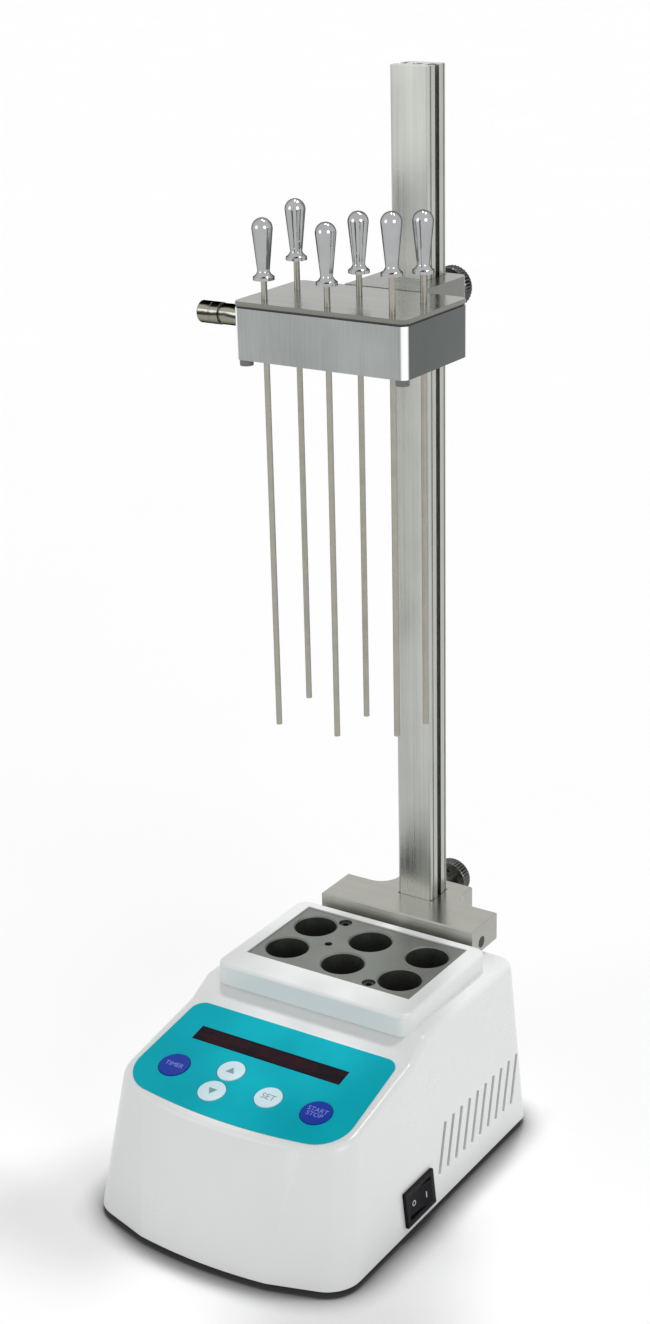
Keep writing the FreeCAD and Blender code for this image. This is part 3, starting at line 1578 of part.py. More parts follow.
def hexagon_points(radius):
    turns = [math.radians(60 * step) for step in range(6)]
    return [(radius * math.cos(turn), radius * math.sin(turn)) for turn in turns]


def aim_left(thing):
    """Turn an object's own Z to -X."""
    thing.Placement.Rotation = Rotation(Vector(0, 1, 0), -90)
    return thing


# Needles

def needle(number, x, y):
    """A steel tube with a side hole in the chamber, and the turned grip on top of it."""
    tip = size[f"needle_tip_{number}"]
    length = size["needle_length"] + size["grip_socket"]
    outer = rod(f"needle_{number}_outer", size["needle_radius"], length, x, y, tip)
    bore = rod(f"needle_{number}_bore", size["needle_bore"],
               size["needle_length"] - size["grip_socket"] + size["needle_radius"],
               x, y, tip - size["needle_radius"])
    vent_level = tip + size["needle_length"] - 2 * size["grip_socket"]
    vent = rod(f"needle_{number}_vent", size["needle_vent_radius"], 4 * size["needle_radius"],
               x - 2 * size["needle_radius"], y, vent_level, "x")
    node(cut(f"needle_{number}", outer, bore, vent))
    body = new_body(f"needle_grip_{number}")
    profile = sketch_on(body, f"needle_grip_{number}_profile", "XZ_Plane")
    length = size["grip_length"]
    ball = size["grip_ball"]
    flange = size["grip_flange"]
    socket = size["needle_radius"]
    sunk = size["grip_socket"]
    outline(profile, [(socket, 0.0), (flange, 0.0), (flange, size["grip_flange_thickness"]),
                      (size["grip_waist"], size["grip_waist_height"], -1.6 * size["grip_waist"]),
                      (ball, length - ball), (0.0, length, ball), (0.0, sunk), (socket, sunk)])
    revolution(body, profile)
    place(body, x, y, tip + size["needle_length"])
    node(body)


def build():
    housing()
    base_plate()
    feet()
    base_screws()
    heating_block()
    block_screws()
    heater_plate()
    film_heater()
    insulation()
    overlay()
    display()
    for name, (colour, x, along) in KEYS.items():
        key(name, size[f"{colour}_key_radius"], x, along)
    control_board()
    power_board()
    power_socket()
    rocker_switch()
    column()
    column_bracket()
    bracket_screws()
    clamp("lower", size["lower_clamp_level"])
    carriage()
    clamp("upper", upper_clamp_level())
    manifold_body()
    manifold_cover()
    manifold_screws()
    carriage_screws()
    needle_seals()
    gas_inlet()
    for number, (x, y) in enumerate(well_places(), start=1):
        needle(number, x, y)
    document.recompute()


def check():
    """Stop if any object failed, a cut removed nothing or a sub-part isn't sound."""
    for thing in document.Objects:
        if "Invalid" in thing.State or "Error" in thing.State:
            raise RuntimeError(f"{thing.Name} failed: {thing.State}")
        if thing.TypeId == "PartDesign::Pocket":
            if thing.BaseFeature.Shape.Volume - thing.Shape.Volume < 1e-6:
                raise RuntimeError(f"{thing.Name} cuts nothing")
    for thing in nodes:
        if thing.Shape.isNull() or not thing.Shape.isValid() or not thing.Shape.Solids:
            raise RuntimeError(f"{thing.Label} has no sound shape")


def write():
    os.makedirs("parts", exist_ok=True)
    for thing in nodes:
        thing.Shape.exportStep(f"parts/{thing.Label}.step")


build()
check()
write()
print(len(nodes), "sub-parts written")
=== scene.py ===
import math

import bpy
from mathutils import Matrix, Vector


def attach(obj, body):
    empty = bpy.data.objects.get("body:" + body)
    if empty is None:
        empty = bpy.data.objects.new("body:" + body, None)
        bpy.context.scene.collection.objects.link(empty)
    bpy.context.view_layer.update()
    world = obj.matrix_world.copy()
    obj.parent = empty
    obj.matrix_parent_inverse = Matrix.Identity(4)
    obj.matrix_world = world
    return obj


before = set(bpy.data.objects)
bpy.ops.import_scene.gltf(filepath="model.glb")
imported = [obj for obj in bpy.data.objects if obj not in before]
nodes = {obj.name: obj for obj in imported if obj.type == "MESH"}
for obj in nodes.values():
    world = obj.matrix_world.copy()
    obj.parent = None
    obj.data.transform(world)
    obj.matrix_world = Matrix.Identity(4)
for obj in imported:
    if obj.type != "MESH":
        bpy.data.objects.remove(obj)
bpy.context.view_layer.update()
scene = bpy.context.scene

MM = 0.001
PHOTO_WIDTH = 650
PHOTO_HEIGHT = 1324

# The panel's own place: its origin and its tilt.
PANEL_BACK = -7.0 * MM
PANEL_LEVEL = 67.0 * MM
PANEL_TILT = math.radians(11.5)

# Vertices nearer than this are one, faces that bend less than SMOOTH_ANGLE are shaded as one,
# and edges sharper than BEVEL_ANGLE are rounded.
WELD = 0.001 * MM
SMOOTH_ANGLE = math.radians(32)
BEVEL_ANGLE = math.radians(40)


# Node materials

def tinted(colour, share):
    return [channel * share for channel in colour]


class Material:
    """A node material with short calls for the nodes it is made of."""

    def __init__(self, name, **values):
        self.data = bpy.data.materials.new(name)
        self.data.use_nodes = True
        self.tree = self.data.node_tree
        self.shader = self.tree.nodes["Principled BSDF"]
        self.place = self.add("ShaderNodeTexCoord").outputs["Object"]
        for key, value in values.items():
            socket = key.replace("_", " ").title().replace("Ior", "IOR")
            self.shader.inputs[socket].default_value = value

    def add(self, kind, **settings):
        node = self.tree.nodes.new(kind)
        for key, value in settings.items():
            setattr(node, key, value)
        return node

    def link(self, source, target):
        self.tree.links.new(source, target)

    def stretched(self, scale):
        """The place with each axis scaled, so that a pattern runs along one of them."""
        mapping = self.add("ShaderNodeMapping")
        mapping.inputs["Scale"].default_value = scale
        self.link(self.place, mapping.inputs["Vector"])
        return mapping.outputs["Vector"]

    def noise(self, cells, detail=3.0, stretch=(1, 1, 1), rough=0.5):
        """Noise with a number of cells per metre."""
        node = self.add("ShaderNodeTexNoise")
        self.link(self.stretched(tinted(stretch, cells)), node.inputs["Vector"])
        node.inputs["Scale"].default_value = 1.0
        node.inputs["Detail"].default_value = detail
        node.inputs["Roughness"].default_value = rough
        return node.outputs["Fac"]

    def remap(self, value, low, high, to_low, to_high):
        node = self.add("ShaderNodeMapRange")
        self.link(value, node.inputs["Value"])
        node.inputs["From Min"].default_value = low
        node.inputs["From Max"].default_value = high
        node.inputs["To Min"].default_value = to_low
        node.inputs["To Max"].default_value = to_high
        return node.outputs["Result"]

    def blend(self, value, low, high, first, second):
        """From the first colour to the second as a value runs from low to high."""
        factor = self.remap(value, low, high, 0, 1)
        return self.mix(factor, first, second)

    def mix(self, factor, first, second):
        """Two colours mixed, each a constant or a socket."""
        node = self.add("ShaderNodeMix", data_type="RGBA")
        self.link(factor, node.inputs["Factor"])
        # The node has sockets for numbers and vectors too: its colours are inputs 6 and 7, output 2.
        for socket, value in zip(node.inputs[6:8], (first, second)):
            if isinstance(value, bpy.types.NodeSocket):
                self.link(value, socket)
            else:
                socket.default_value = (*value, 1)
        return node.outputs[2]

    def add_values(self, first, second, share):
        """The first value plus a share of the second."""
        node = self.add("ShaderNodeMath", operation="MULTIPLY_ADD")
        self.link(second, node.inputs[0])
        node.inputs[1].default_value = share
        self.link(first, node.inputs[2])
        return node.outputs[0]

    def normal_axes(self):
        """The way the surface faces, along the piece's own axes."""
        axes = self.add("ShaderNodeSeparateXYZ")
        self.link(self.add("ShaderNodeTexCoord").outputs["Normal"], axes.inputs[0])
        return axes.outputs

    def facing(self):
        """How far the surface faces left or right, and how near it is to an upright corner's middle."""
        axes = self.normal_axes()
        product = self.add("ShaderNodeMath", operation="MULTIPLY")
        for axis, socket in zip("XY", product.inputs):
            size = self.add("ShaderNodeMath", operation="ABSOLUTE")
            self.link(axes[axis], size.inputs[0])
            self.link(size.outputs[0], socket)
            if axis == "X":
                sideways = size.outputs[0]
        return sideways, product.outputs[0]

    def colour(self, source):
        self.link(source, self.shader.inputs["Base Color"])

    def roughness(self, source):
        self.link(source, self.shader.inputs["Roughness"])

    def bump(self, height, distance, strength=1.0):
        """Raise the surface by a height that runs from 0 to 1 over a distance in metres."""
        node = self.add("ShaderNodeBump")
        node.inputs["Strength"].default_value = strength
        node.inputs["Distance"].default_value = distance
        self.link(height, node.inputs["Height"])
        self.link(node.outputs["Normal"], self.shader.inputs["Normal"])


def moulded(name, colour, grain=2500, depth=6e-6, rough=(0.26, 0.36), tint=0.97, **values):
    """Moulded plastic: a fine grain, faint flow marks and uneven gloss."""
    result = Material(name, **values)
    flow = result.noise(28, detail=4)
    fine = result.noise(grain, detail=2)
    result.colour(result.blend(flow, 0.35, 0.65, colour, tinted(colour, tint)))
    result.roughness(result.remap(result.add_values(flow, fine, 0.5), 0.5, 1.0, *rough))
    result.bump(fine, depth)
    return result.data


def brushed(name, colour, along, rough=(0.24, 0.42), depth=8e-6, tint=0.86, lines=1400):
    """Drawn or brushed metal with fine lines along one axis and slow stains."""
    result = Material(name, metallic=1.0)
    stretch = [0.012 if axis == along else 1.0 for axis in "xyz"]
    line = result.noise(lines, stretch=stretch, rough=0.6)
    wide = result.noise(lines / 9, detail=2, stretch=stretch)
    stain = result.noise(60, detail=4)
    shade = result.add_values(result.add_values(line, wide, 0.8), stain, 0.5)
    result.colour(result.blend(shade, 0.85, 1.45, tinted(colour, tint), colour))
    result.roughness(result.remap(shade, 0.8, 1.5, *rough))
    result.bump(line, depth)
    return result.data


def brushed_box_with_painted_light(name, colour, end_shade_colour, corner_highlight_colour):
    """Brushed walls, with painted shade on the ends that face along X and a painted highlight down the
    middle of each upright corner.
    """
    result = Material(name, metallic=1.0)
    line = result.noise(1500, stretch=(1, 1, 0.02), rough=0.6)
    cloud = result.noise(45)
    shade = result.add_values(line, cloud, 0.9)
    sideways, corner = result.facing()
    wall = result.blend(shade, 0.7, 1.2, tinted(colour, 0.84), colour)
    # Painted shade: faces turned towards plus or minus X take the darker end colour.
    ends = result.blend(sideways, 0.9, 0.98, wall, end_shade_colour)
    # Painted highlight: the middle of each upright corner turns near white.
    result.colour(result.blend(corner, 0.3, 0.42, ends, corner_highlight_colour))
    result.roughness(result.remap(shade, 0.7, 1.2, 0.28, 0.42))
    result.bump(line, 4e-6)
    return result.data


def turned(name, colour, rough=(0.08, 0.2), depth=4e-6, rings=1800, edge=0.5):
    """Turned or polished metal: faint rings, fine scratches and a darker rim."""
    result = Material(name, metallic=1.0, specular_tint=(edge, edge, edge, 1))
    ring = result.noise(rings, detail=2, stretch=(0.02, 0.02, 1), rough=0.6)
    smear = result.noise(160, detail=5)
    result.colour(result.blend(smear, 0.3, 0.7, tinted(colour, 0.9), colour))
    result.roughness(result.remap(result.add_values(smear, ring, 0.6), 0.6, 1.1, *rough))
    result.bump(ring, depth)
    return result.data


def fitting_with_painted_reflections():
    """Plated barrel with painted reflections: dark and bright streaks along its length, set by which
    way the surface faces, and fine rings.
    """
    result = Material("fitting_with_painted_reflections", metallic=1.0, specular_tint=(0.1, 0.1, 0.1, 1))
    height = result.normal_axes()["Z"]
    smear = result.noise(160, detail=4)
    upward = result.add_values(height, result.remap(smear, 0.3, 0.7, -0.5, 0.5), 0.16)
    # Painted reflection: bands of light and dark in the colour itself, chosen by the surface's upward
    # direction.
    painted_reflection_bands = result.add("ShaderNodeValToRGB")
    result.link(result.remap(upward, -1, 1, 0, 1), painted_reflection_bands.inputs["Fac"])
    stops = painted_reflection_bands.color_ramp.elements
    stops[0].color = (0.10, 0.10, 0.08, 1)
    stops[1].color = (0.012, 0.012, 0.008, 1)
    yellowing = 0.82
    # Where the surface faces, from 0 (down) to 1 (up), and how pale the painted reflection is there.
    for place, shade in (
        (0.3, 0.27), (0.46, 0.27), (0.51, 0.03), (0.6, 0.04), (0.66, 0.33), (0.82, 0.33), (0.88, 0.015),
    ):
        stops.new(place).color = (shade, shade, shade * yellowing, 1)
    result.colour(painted_reflection_bands.outputs["Color"])
    ring = result.noise(420, detail=2, stretch=(1, 0.02, 0.02), rough=0.6)
    result.roughness(result.remap(ring, 0.3, 0.7, 0.12, 0.24))
    result.bump(ring, 6e-5)
    return result.data


def cast_grain(name, colour, rough=(0.4, 0.6), grain=1500, depth=1e-5, tint=0.8, **values):
    """A matt surface with an even grain: rubber, foam, bead-blasted or blackened metal."""
    result = Material(name, **values)
    fine = result.noise(grain, detail=4, rough=0.7)
    cloud = result.noise(90)
    shade = result.add_values(fine, cloud, 0.7)
    result.colour(result.blend(shade, 0.6, 1.1, tinted(colour, tint), colour))
    result.roughness(result.remap(fine, 0.3, 0.7, *rough))
    result.bump(fine, depth)
    return result.data


def overlay_film():
    """Printed film: a fine leather-like emboss and a slightly uneven teal."""
    result = Material("overlay_film", specular_ior_level=0.05)
    cells = result.add("ShaderNodeTexVoronoi", feature="SMOOTH_F1")
    result.link(result.stretched((2600, 2600, 2600)), cells.inputs["Vector"])
    cells.inputs["Scale"].default_value = 1.0
    emboss = cells.outputs["Distance"]
    cloud = result.noise(35)
    result.colour(result.blend(cloud, 0.3, 0.7, (0.0, 0.375, 0.465), (0.001, 0.43, 0.52)))
    result.roughness(result.remap(emboss, 0.1, 0.8, 0.34, 0.5))
    result.bump(emboss, 1.2e-5, strength=0.6)
    return result.data


def window_film():
    """Smoked window: near black with an uneven red cast."""
    result = Material("window_film", specular_ior_level=0.05)
    cloud = result.noise(120, stretch=(0.5, 2.0, 2.0))
    result.colour(result.blend(cloud, 0.4, 0.62, (0.008, 0.006, 0.011), (0.024, 0.006, 0.011)))
    result.roughness(result.remap(cloud, 0.3, 0.7, 0.16, 0.26))
    return result.data


def printed(name, colour, **values):
    """Ink: a little thinner here and there."""
    result = Material(name, **values)
    wear = result.noise(1500)
    result.colour(result.blend(wear, 0.4, 0.7, colour, tinted(colour, 0.85)))
    result.roughness(result.remap(wear, 0.3, 0.7, 0.44, 0.56))
    return result.data


def make_plastics():
    return {
        "shell": moulded("shell", (0.79, 0.805, 0.80), coat_weight=0.25, coat_roughness=0.18),
        "film": overlay_film(),
        "window": window_film(),
        "blue": moulded("key_blue", (0.002, 0.035, 0.36), grain=3000, depth=5e-6,
                        rough=(0.4, 0.5), tint=0.9, specular_ior_level=0.15),
        "pale": moulded("key_pale", (0.60, 0.77, 0.83), grain=3000, depth=5e-6,
                        rough=(0.34, 0.46), tint=0.96),
        "black": moulded("black_plastic", (0.004, 0.004, 0.006), grain=1800, depth=1e-5,
                         rough=(0.36, 0.48), tint=0.8, specular_ior_level=0.12),
        "board": moulded("circuit_board", (0.015, 0.10, 0.045), grain=1400, depth=1e-5,
                         rough=(0.3, 0.45), tint=0.7),
        "heater": moulded("heater_film", (0.30, 0.13, 0.03), grain=1400, depth=1e-5,
                          rough=(0.3, 0.45), tint=0.8),
        "nylon": moulded("nylon", (0.66, 0.65, 0.60), grain=1400, depth=1e-5,
                         rough=(0.4, 0.55), tint=0.92),
    }


def make_metals():
    return {
        "block": cast_grain("block_metal", (0.185, 0.197, 0.178), rough=(0.34, 0.5),
                            depth=6e-6, metallic=0.95),
        "column": brushed("drawn_column", (0.52, 0.53, 0.50), "z", rough=(0.24, 0.36),
                          depth=7e-6, tint=0.8, lines=900),
        "bracket": brushed("milled_bracket", (0.40, 0.40, 0.36), "x", rough=(0.16, 0.28),
                           depth=2e-6, tint=0.93, lines=1800),
        "carriage": brushed("milled_carriage", (0.21, 0.215, 0.20), "x", rough=(0.2, 0.32),
                            depth=2e-6, tint=0.9, lines=1800),
        # The second colour is the painted shade on the manifold's ends, the third the painted highlight
        # on its corners.
        "manifold": brushed_box_with_painted_light("brushed_manifold", (0.34, 0.36, 0.355), (0.11, 0.12, 0.118),
                                (0.93, 0.94, 0.94)),
        "lid": brushed("polished_lid", (0.225, 0.23, 0.203), "x", rough=(0.12, 0.28),
                       depth=3e-6, tint=0.88, lines=900),
        "chrome": turned("chrome", (0.44, 0.445, 0.45), rough=(0.08, 0.16), edge=0.0),
        "tube": turned("drawn_tube", (0.38, 0.37, 0.32), rough=(0.2, 0.34), depth=3e-6,
                       rings=500, edge=0.3),
        "fitting": fitting_with_painted_reflections(),
        "knob": turned("knob_metal", (0.13, 0.13, 0.125), rough=(0.18, 0.34), depth=6e-6,
                       rings=1500, edge=0.3),
        "steel": turned("screw_steel", (0.40, 0.40, 0.39), rough=(0.2, 0.36)),
        "dark_screw": cast_grain("black_screw", (0.03, 0.03, 0.03), rough=(0.35, 0.5), metallic=0.6),
        "grey_screw": cast_grain("grey_screw", (0.16, 0.16, 0.155), rough=(0.3, 0.45),
                                 depth=8e-6, tint=0.85, metallic=0.9),
        "sheet": brushed("sheet_metal", (0.42, 0.43, 0.43), "x", rough=(0.3, 0.5),
                         tint=0.85, lines=1200),
    }


def make_soft_and_inks():
    return {
        "rubber": cast_grain("rubber", (0.02, 0.02, 0.02), rough=(0.6, 0.8), grain=1200, depth=2e-5),
        "seal": cast_grain("seal_rubber", (0.05, 0.05, 0.048), rough=(0.5, 0.7), grain=1800),
        "foam": cast_grain("foam", (0.62, 0.60, 0.52), rough=(0.8, 0.95), grain=1400, depth=8e-5),
        "blue_ink": printed("blue_key_ink", (0.22, 0.24, 0.78)),
        "grey_ink": printed("pale_key_ink", (0.16, 0.30, 0.30)),
        "white_ink": printed("rocker_ink", (0.6, 0.6, 0.6)),
        "digit": printed("unlit_digit", (0.032, 0.006, 0.010), specular_ior_level=0.05),
    }


# Each CAD node's material and the width of its softened edges in mm.
FINISHES = {
    "housing": ("shell", 0.25),
    "base_plate": ("sheet", 0.2),
    "rubber_feet": ("rubber", 0.4),
    "base_screws": ("steel", 0.2),
    "heating_block": ("block", 0.2),
    "block_screws": ("dark_screw", 0.2),
    "heater_plate": ("sheet", 0.2),
    "temperature_sensor": ("steel", 0.2),
    "film_heater": ("heater", 0.0),
    "insulation_sleeve": ("foam", 0.4),
    "support_tray": ("sheet", 0.2),
    "support_posts": ("steel", 0.2),
    "thermal_cutoff": ("black", 0.3),
    "panel_overlay": ("film", 0.1),
    "display_window": ("window", 0.1),
    "display_module": ("black", 0.2),
    "timer_key": ("blue", 0.0),
    "start_key": ("blue", 0.0),
    "up_key": ("pale", 0.0),
    "down_key": ("pale", 0.0),
    "set_key": ("pale", 0.0),
    "control_board": ("board", 0.1),
    "key_switches": ("black", 0.2),
    "board_screws": ("steel", 0.2),
    "power_board": ("board", 0.1),
    "transformer": ("black", 0.4),
    "power_board_posts": ("nylon", 0.2),
    "power_socket": ("black", 0.3),
    "switch_housing": ("black", 0.3),
    "rocker": ("black", 0.3),
    "column": ("column", 0.15),
    "column_bracket": ("bracket", 0.15),
    "bracket_screws": ("dark_screw", 0.3),
    "lower_clamp_pad": ("nylon", 0.2),
    "upper_clamp_pad": ("nylon", 0.2),
    "lower_clamp_screw": ("steel", 0.2),
    "upper_clamp_screw": ("steel", 0.2),
    "lower_knob": ("knob", 0.1),
    "upper_knob": ("knob", 0.1),
    "carriage": ("carriage", 0.3),
    "carriage_screws": ("dark_screw", 0.2),
    "manifold_body": ("manifold", 0.3),
    "manifold_gasket": ("seal", 0.1),
    "manifold_lid": ("lid", 0.1),
    "manifold_screws": ("grey_screw", 0.3),
    "needle_seals": ("seal", 0.0),
    "gas_inlet": ("fitting", 0.15),
    "inlet_washer": ("seal", 0.15),
}
for number in range(1, 7):
    FINISHES[f"needle_{number}"] = ("tube", 0.1)
    FINISHES[f"needle_grip_{number}"] = ("chrome", 0.15)


def smooth_group():
    """A node group that welds a mesh and shades it smooth, apart from its sharp edges."""
    group = bpy.data.node_groups.new("weld_and_smooth", "GeometryNodeTree")
    group.interface.new_socket("Geometry", in_out="INPUT", socket_type="NodeSocketGeometry")
    group.interface.new_socket("Geometry", in_out="OUTPUT", socket_type="NodeSocketGeometry")
    start = group.nodes.new("NodeGroupInput")
    weld = group.nodes.new("GeometryNodeMergeByDistance")
    weld.inputs["Distance"].default_value = WELD
    bend = group.nodes.new("GeometryNodeInputMeshEdgeAngle")
    sharp = group.nodes.new("FunctionNodeCompare")
    sharp.data_type = "FLOAT"
    sharp.operation = "GREATER_THAN"
    sharp.inputs[1].default_value = SMOOTH_ANGLE
    faces = group.nodes.new("GeometryNodeSetShadeSmooth")
    edges = group.nodes.new("GeometryNodeSetShadeSmooth")
    edges.domain = "EDGE"
    edges.inputs["Shade Smooth"].default_value = False
    finish = group.nodes.new("NodeGroupOutput")
    for source, target in (
        (start.outputs[0], weld.inputs["Geometry"]),
        (weld.outputs["Geometry"], faces.inputs["Geometry"]),
        (faces.outputs["Geometry"], edges.inputs["Geometry"]),
        (bend.outputs["Unsigned Angle"], sharp.inputs[0]),
        (sharp.outputs[0], edges.inputs["Selection"]),
        (edges.outputs["Geometry"], finish.inputs[0]),
    ):
        group.links.new(source, target)
    return group


def soften(thing, width, group):
    """Weld, smooth and lightly round the edges of a CAD node."""
    smooth = thing.modifiers.new("weld_and_smooth", "NODES")
    smooth.node_group = group
    if width > 0:
        bevel = thing.modifiers.new("soft_edges", "BEVEL")
        bevel.width = width * MM
        bevel.segments = 2
        bevel.limit_method = "ANGLE"
        bevel.angle_limit = BEVEL_ANGLE
        bevel.harden_normals = True
        bevel.use_clamp_overlap = True


def finish_nodes(materials):
    group = smooth_group()
    for name, thing in nodes.items():
        finish, width = FINISHES[name]
        thing.data.materials.clear()
        thing.data.materials.append(materials[finish])
        soften(thing, width, group)


# Pieces that the solids don't have

def surface_at(node, start, direction, along):
    """Where a ray meets a node: a matrix with Z out of the face and X nearest to along."""
    hit, place, normal, _ = nodes[node].ray_cast(start, direction)
    if not hit:
        raise RuntimeError(f"nothing of {node} at {start}")
    if normal.dot(direction) > 0:
        normal = -normal
    x = (along - normal * along.dot(normal)).normalized()
    y = normal.cross(x)
    return Matrix((
        (x.x, y.x, normal.x, place.x),
        (x.y, y.y, normal.y, place.y),
        (x.z, y.z, normal.z, place.z),
        (0, 0, 0, 1),
    ))


def panel_place(node, x, along):
    """The top of a panel piece at a place in the panel's own directions, in mm."""
    out = Vector((0, -math.sin(PANEL_TILT), math.cos(PANEL_TILT)))
    up = Vector((0, math.cos(PANEL_TILT), math.sin(PANEL_TILT)))
    corner = Vector((x * MM, PANEL_BACK, PANEL_LEVEL)) + up * along * MM
    well_above = corner + out * 50 * MM
    return surface_at(node, well_above, -out, Vector((1, 0, 0)))


def piece(name, mesh, place, material, body):
    """A new piece on the object, riding on one of its bodies."""
    mesh.transform(place)
    thing = bpy.data.objects.new(name, mesh)
    scene.collection.objects.link(thing)
    mesh.materials.clear()
    mesh.materials.append(material)
    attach(thing, body)
    return thing


def prism(name, outlines, height):
    """Flat outlines raised by a height, with a small bevel round their tops."""
    top_share = 0.93
    bevel_start = 0.6
    points = []
    faces = []
    for outline in outlines:
        middle = Vector((sum(p[0] for p in outline), sum(p[1] for p in outline))) / len(outline)
        base = len(points)
        count = len(outline)
        inner = [middle + (Vector(p) - middle) * top_share for p in outline]
        points += [(x, y, -height) for x, y in outline]
        points += [(x, y, height * bevel_start) for x, y in outline]
        points += [(p.x, p.y, height) for p in inner]
        for ring in (0, 1):
            low = base + ring * count
            high = low + count
            for index in range(count):
                following = (index + 1) % count
                faces.append((low + index, low + following, high + following, high + index))
        faces.append([base + 2 * count + index for index in range(count)])
    mesh = bpy.data.meshes.new(name)
    mesh.from_pydata([[c * MM for c in p] for p in points], [], faces)
    mesh.update()
    return mesh


def words(name, text, height, thickness):
    """Plain lettering as a mesh, centred, with its lines one below the other."""
    curve = bpy.data.curves.new(name, "FONT")
    curve.body = text
    curve.align_x = "CENTER"
    curve.align_y = "CENTER"
    curve.size = height * MM
    curve.space_line = 0.85
    curve.extrude = thickness * MM
    curve.resolution_u = 4
    holder = bpy.data.objects.new(name, curve)
    scene.collection.objects.link(holder)
    evaluated = holder.evaluated_get(bpy.context.evaluated_depsgraph_get())
    mesh = bpy.data.meshes.new_from_object(evaluated)
    bpy.data.objects.remove(holder)
    return mesh


def add_arrows(materials):
    """An arrow up and an arrow down on the two pale keys on the left."""
    upward = [(-1.9, -1.2), (1.9, -1.2), (0.0, 1.9)]
    downward = [(x, -y) for x, y in reversed(upward)]
    for name, x, along, shape in (
        ("up_key", -10.6, -30.1, upward),
        ("down_key", -11.2, -42.4, downward),
    ):
        mesh = prism(f"{name}_arrow", [shape], 0.05)
        place = panel_place(name, x, along)
        body = name.replace("key", "button")
        piece(f"{name}_arrow", mesh, place, materials["grey_ink"], body)


def add_words(materials):
    """The plain words on the other three keys."""
    for name, x, along, text, height, ink, slot in (
        ("timer_key", -33.2, -36.0, "TIMER", 3.0, "blue_ink", "key_blue"),
        ("set_key", 10.8, -36.8, "SET", 4.0, "grey_ink", "key_pale"),
        ("start_key", 32.0, -36.6, "START\nSTOP", 3.0, "blue_ink", "key_blue"),
    ):
        mesh = words(f"{name}_word", text, height, 0.04)
        place = panel_place(name, x, along)
        body = name.replace("key", "button")
        piece(f"{name}_word", mesh, place, materials[ink], body)


def digit_strokes(start, size):
    """The seven strokes of one digit, each a thin hexagon, leaning a little."""
    half = 0.86 * size
    wide = 0.16 * size
    lean = 0.14
    lying = [
        (wide - half, -wide), (half - wide, -wide), (half, 0),
        (half - wide, wide), (wide - half, wide), (-half, 0),
    ]
    standing = [(y, -x) for x, y in lying]
    outlines = []
    for across, up, shape in (
        (0, 2, lying), (0, 0, lying), (0, -2, lying),
        (-1, 1, standing), (1, 1, standing), (-1, -1, standing), (1, -1, standing),
    ):
        outline = []
        for x, y in shape:
            level = up * size + y
            outline.append((start + across * size + x + lean * level, level))
        outlines.append(outline)
    return outlines


def display_digits(materials):
    """Four and two faint unlit digits on the smoked window."""
    outlines = []
    for start in (-26.0, -18.5, -11.0, -3.5, 12.0, 19.5):
        outlines += digit_strokes(start, 1.15)
    mesh = prism("display_digits", outlines, 0.02)
    place = panel_place("display_window", -2.2, -16.25)
    piece("display_digits", mesh, place, materials["digit"], "base")


def ring_outlines(outer, inner, count):
    """A ring as short four-sided outlines."""
    turns = [2 * math.pi * index / count for index in range(count)]
    corners = [Vector((math.cos(turn), math.sin(turn))) for turn in turns]
    outlines = []
    for first, second in zip(corners, corners[1:] + corners[:1]):
        outlines.append([first * inner, first * outer, second * outer, second * inner])
    return outlines


def rocker_marks(materials):
    """A dash and a ring on the rocker's two halves."""
    level = 13.2 * MM
    outside = 90 * MM
    outward = Vector((1, 0, 0))
    dash = [(-1.3, -0.22), (1.3, -0.22), (1.3, 0.22), (-1.3, 0.22)]
    for name, y, outlines in (
        ("rocker_on_mark", -8.6, [dash]),
        ("rocker_off_mark", -16.0, ring_outlines(1.15, 0.75, 20)),
    ):
        start = Vector((outside, y * MM, level))
        place = surface_at("rocker", start, -outward, Vector((0, 0, 1)))
        mesh = prism(name, outlines, 0.03)
        piece(name, mesh, place, materials["white_ink"], "rocker_paddle")


# Camera, floor and light

def add_camera():
    """The photograph's own view, found by fitting the solids to it; the focal length is in pixels."""
    azimuth = math.radians(32.38)
    elevation = math.radians(23.95)
    roll = math.radians(1.07)
    focal = 2162.59
    centre_x = 361.73
    centre_y = 776.78
    offset = Vector((-1.97, -70.06, -864.88)) * MM
    fit_origin = Vector((0, 37, 81)) * MM
    level = math.cos(elevation)
    right = Vector((math.cos(azimuth), math.sin(azimuth), 0))
    back = Vector((math.sin(azimuth) * level, -math.cos(azimuth) * level, math.sin(elevation)))
    up = back.cross(right)
    camera_x = right * math.cos(roll) - up * math.sin(roll)
    camera_y = right * math.sin(roll) + up * math.cos(roll)
    turn = Matrix((camera_x, camera_y, back))
    data = bpy.data.cameras.new("photo_camera")
    data.sensor_fit = "AUTO"
    data.sensor_width = 36.0
    data.lens = focal / PHOTO_HEIGHT * data.sensor_width
    data.shift_x = (PHOTO_WIDTH / 2 - centre_x) / PHOTO_HEIGHT
    data.shift_y = (centre_y - PHOTO_HEIGHT / 2) / PHOTO_HEIGHT
    data.clip_start = 0.01
    data.clip_end = 100.0
    camera = bpy.data.objects.new("photo_camera", data)
    place = turn.transposed().to_4x4()
    place.translation = fit_origin - turn.transposed() @ offset
    camera.matrix_world = place
    scene.collection.objects.link(camera)
    scene.camera = camera


def floor_paint():
    """Pale paint with a painted contact shadow: its colour darkens in the narrow gaps where the object
    meets it.
    """
    result = Material("floor", specular_ior_level=0.1)
    grain = result.noise(6)
    pale = result.mix(grain, (0.93, 0.93, 0.93), (0.95, 0.95, 0.95))
    # Painted shadow: ambient occlusion darkens the floor's colour close to the object.
    painted_contact_shadow = result.add("ShaderNodeAmbientOcclusion", samples=16)
    painted_contact_shadow.inputs["Distance"].default_value = 18 * MM
    result.colour(result.blend(painted_contact_shadow.outputs["AO"], 0.5, 0.93, (0.12, 0.12, 0.12), pale))
    result.shader.inputs["Roughness"].default_value = 0.9
    return result.data


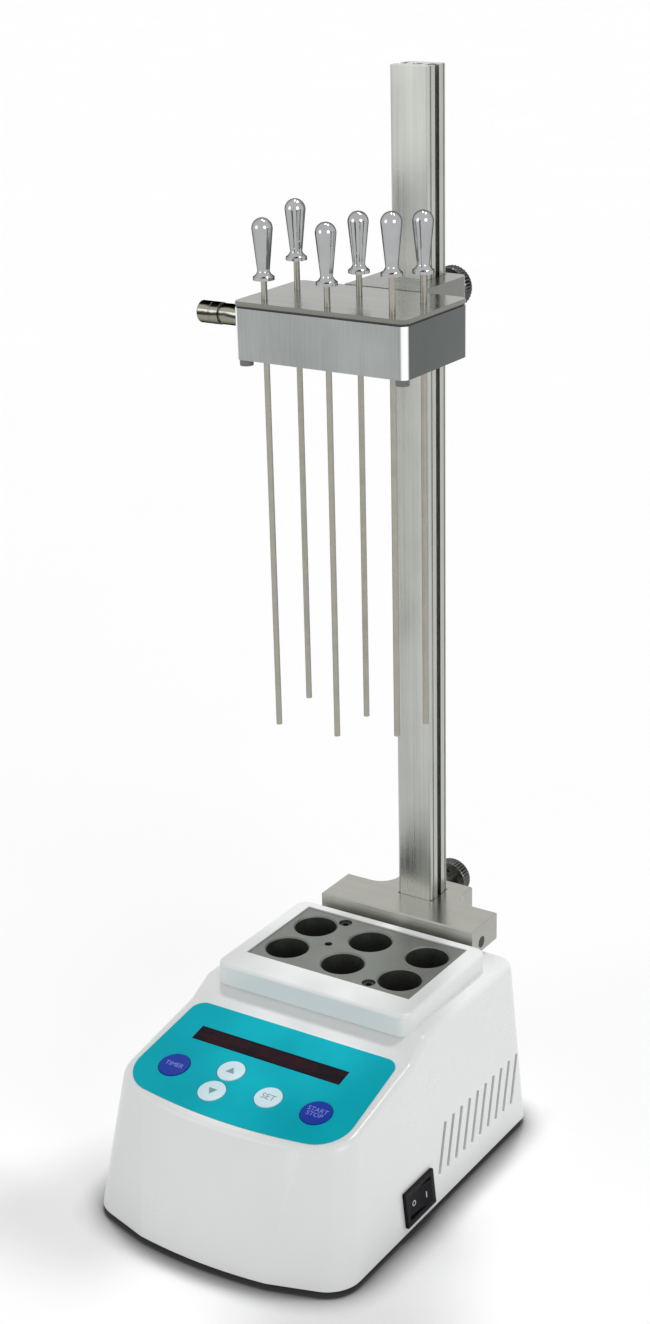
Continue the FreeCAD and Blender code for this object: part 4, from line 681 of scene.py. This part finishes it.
def add_floor():
    side = 20.0
    corners = [(-side, -side, 0), (side, -side, 0), (side, side, 0), (-side, side, 0)]
    mesh = bpy.data.meshes.new("floor")
    mesh.from_pydata(corners, [], [(0, 1, 2, 3)])
    floor = bpy.data.objects.new("floor", mesh)
    scene.collection.objects.link(floor)
    mesh.materials.append(floor_paint())


def add_world():
    """White to the eye and in reflections, softer as a light."""
    as_light = 0.42
    as_seen = 0.985
    world = bpy.data.worlds.new("studio")
    world.use_nodes = True
    scene.world = world
    tree = world.node_tree
    background = tree.nodes["Background"]
    background.inputs["Color"].default_value = (1, 1, 1, 1)
    path = tree.nodes.new("ShaderNodeLightPath")
    seen = tree.nodes.new("ShaderNodeMath")
    seen.operation = "MAXIMUM"
    through = tree.nodes.new("ShaderNodeMath")
    through.operation = "MAXIMUM"
    strength = tree.nodes.new("ShaderNodeMapRange")
    strength.inputs["To Min"].default_value = as_light
    strength.inputs["To Max"].default_value = as_seen
    for source, target in (
        (path.outputs["Is Camera Ray"], seen.inputs[0]),
        (path.outputs["Is Glossy Ray"], seen.inputs[1]),
        (seen.outputs[0], through.inputs[0]),
        (path.outputs["Is Transmission Ray"], through.inputs[1]),
        (through.outputs[0], strength.inputs["Value"]),
        (strength.outputs["Result"], background.inputs["Strength"]),
    ):
        tree.links.new(source, target)


def add_lamp(name, towards, strength, spread):
    """A wide, even light from far off, so that the floor is as bright near the object as behind it."""
    data = bpy.data.lights.new(name, "SUN")
    data.energy = strength
    data.angle = math.radians(spread)
    lamp = bpy.data.objects.new(name, data)
    lamp.location = towards
    lamp.rotation_euler = (-Vector(towards)).to_track_quat("-Z", "Y").to_euler()
    scene.collection.objects.link(lamp)


def add_lights():
    add_lamp("front", (-0.6, -1.0, 0.3), strength=0.40, spread=30)
    add_lamp("side", (1.0, -0.5, 0.35), strength=0.60, spread=30)
    add_lamp("left_top", (-0.21, 0.37, 1.0), strength=1.0, spread=6)
    add_lamp("right_top", (0.19, 0.37, 1.0), strength=0.85, spread=6)


materials = {**make_plastics(), **make_metals(), **make_soft_and_inks()}
finish_nodes(materials)
add_arrows(materials)
add_words(materials)
display_digits(materials)
rocker_marks(materials)
add_camera()
add_floor()
add_world()
add_lights()
scene.view_settings.view_transform = "Standard"
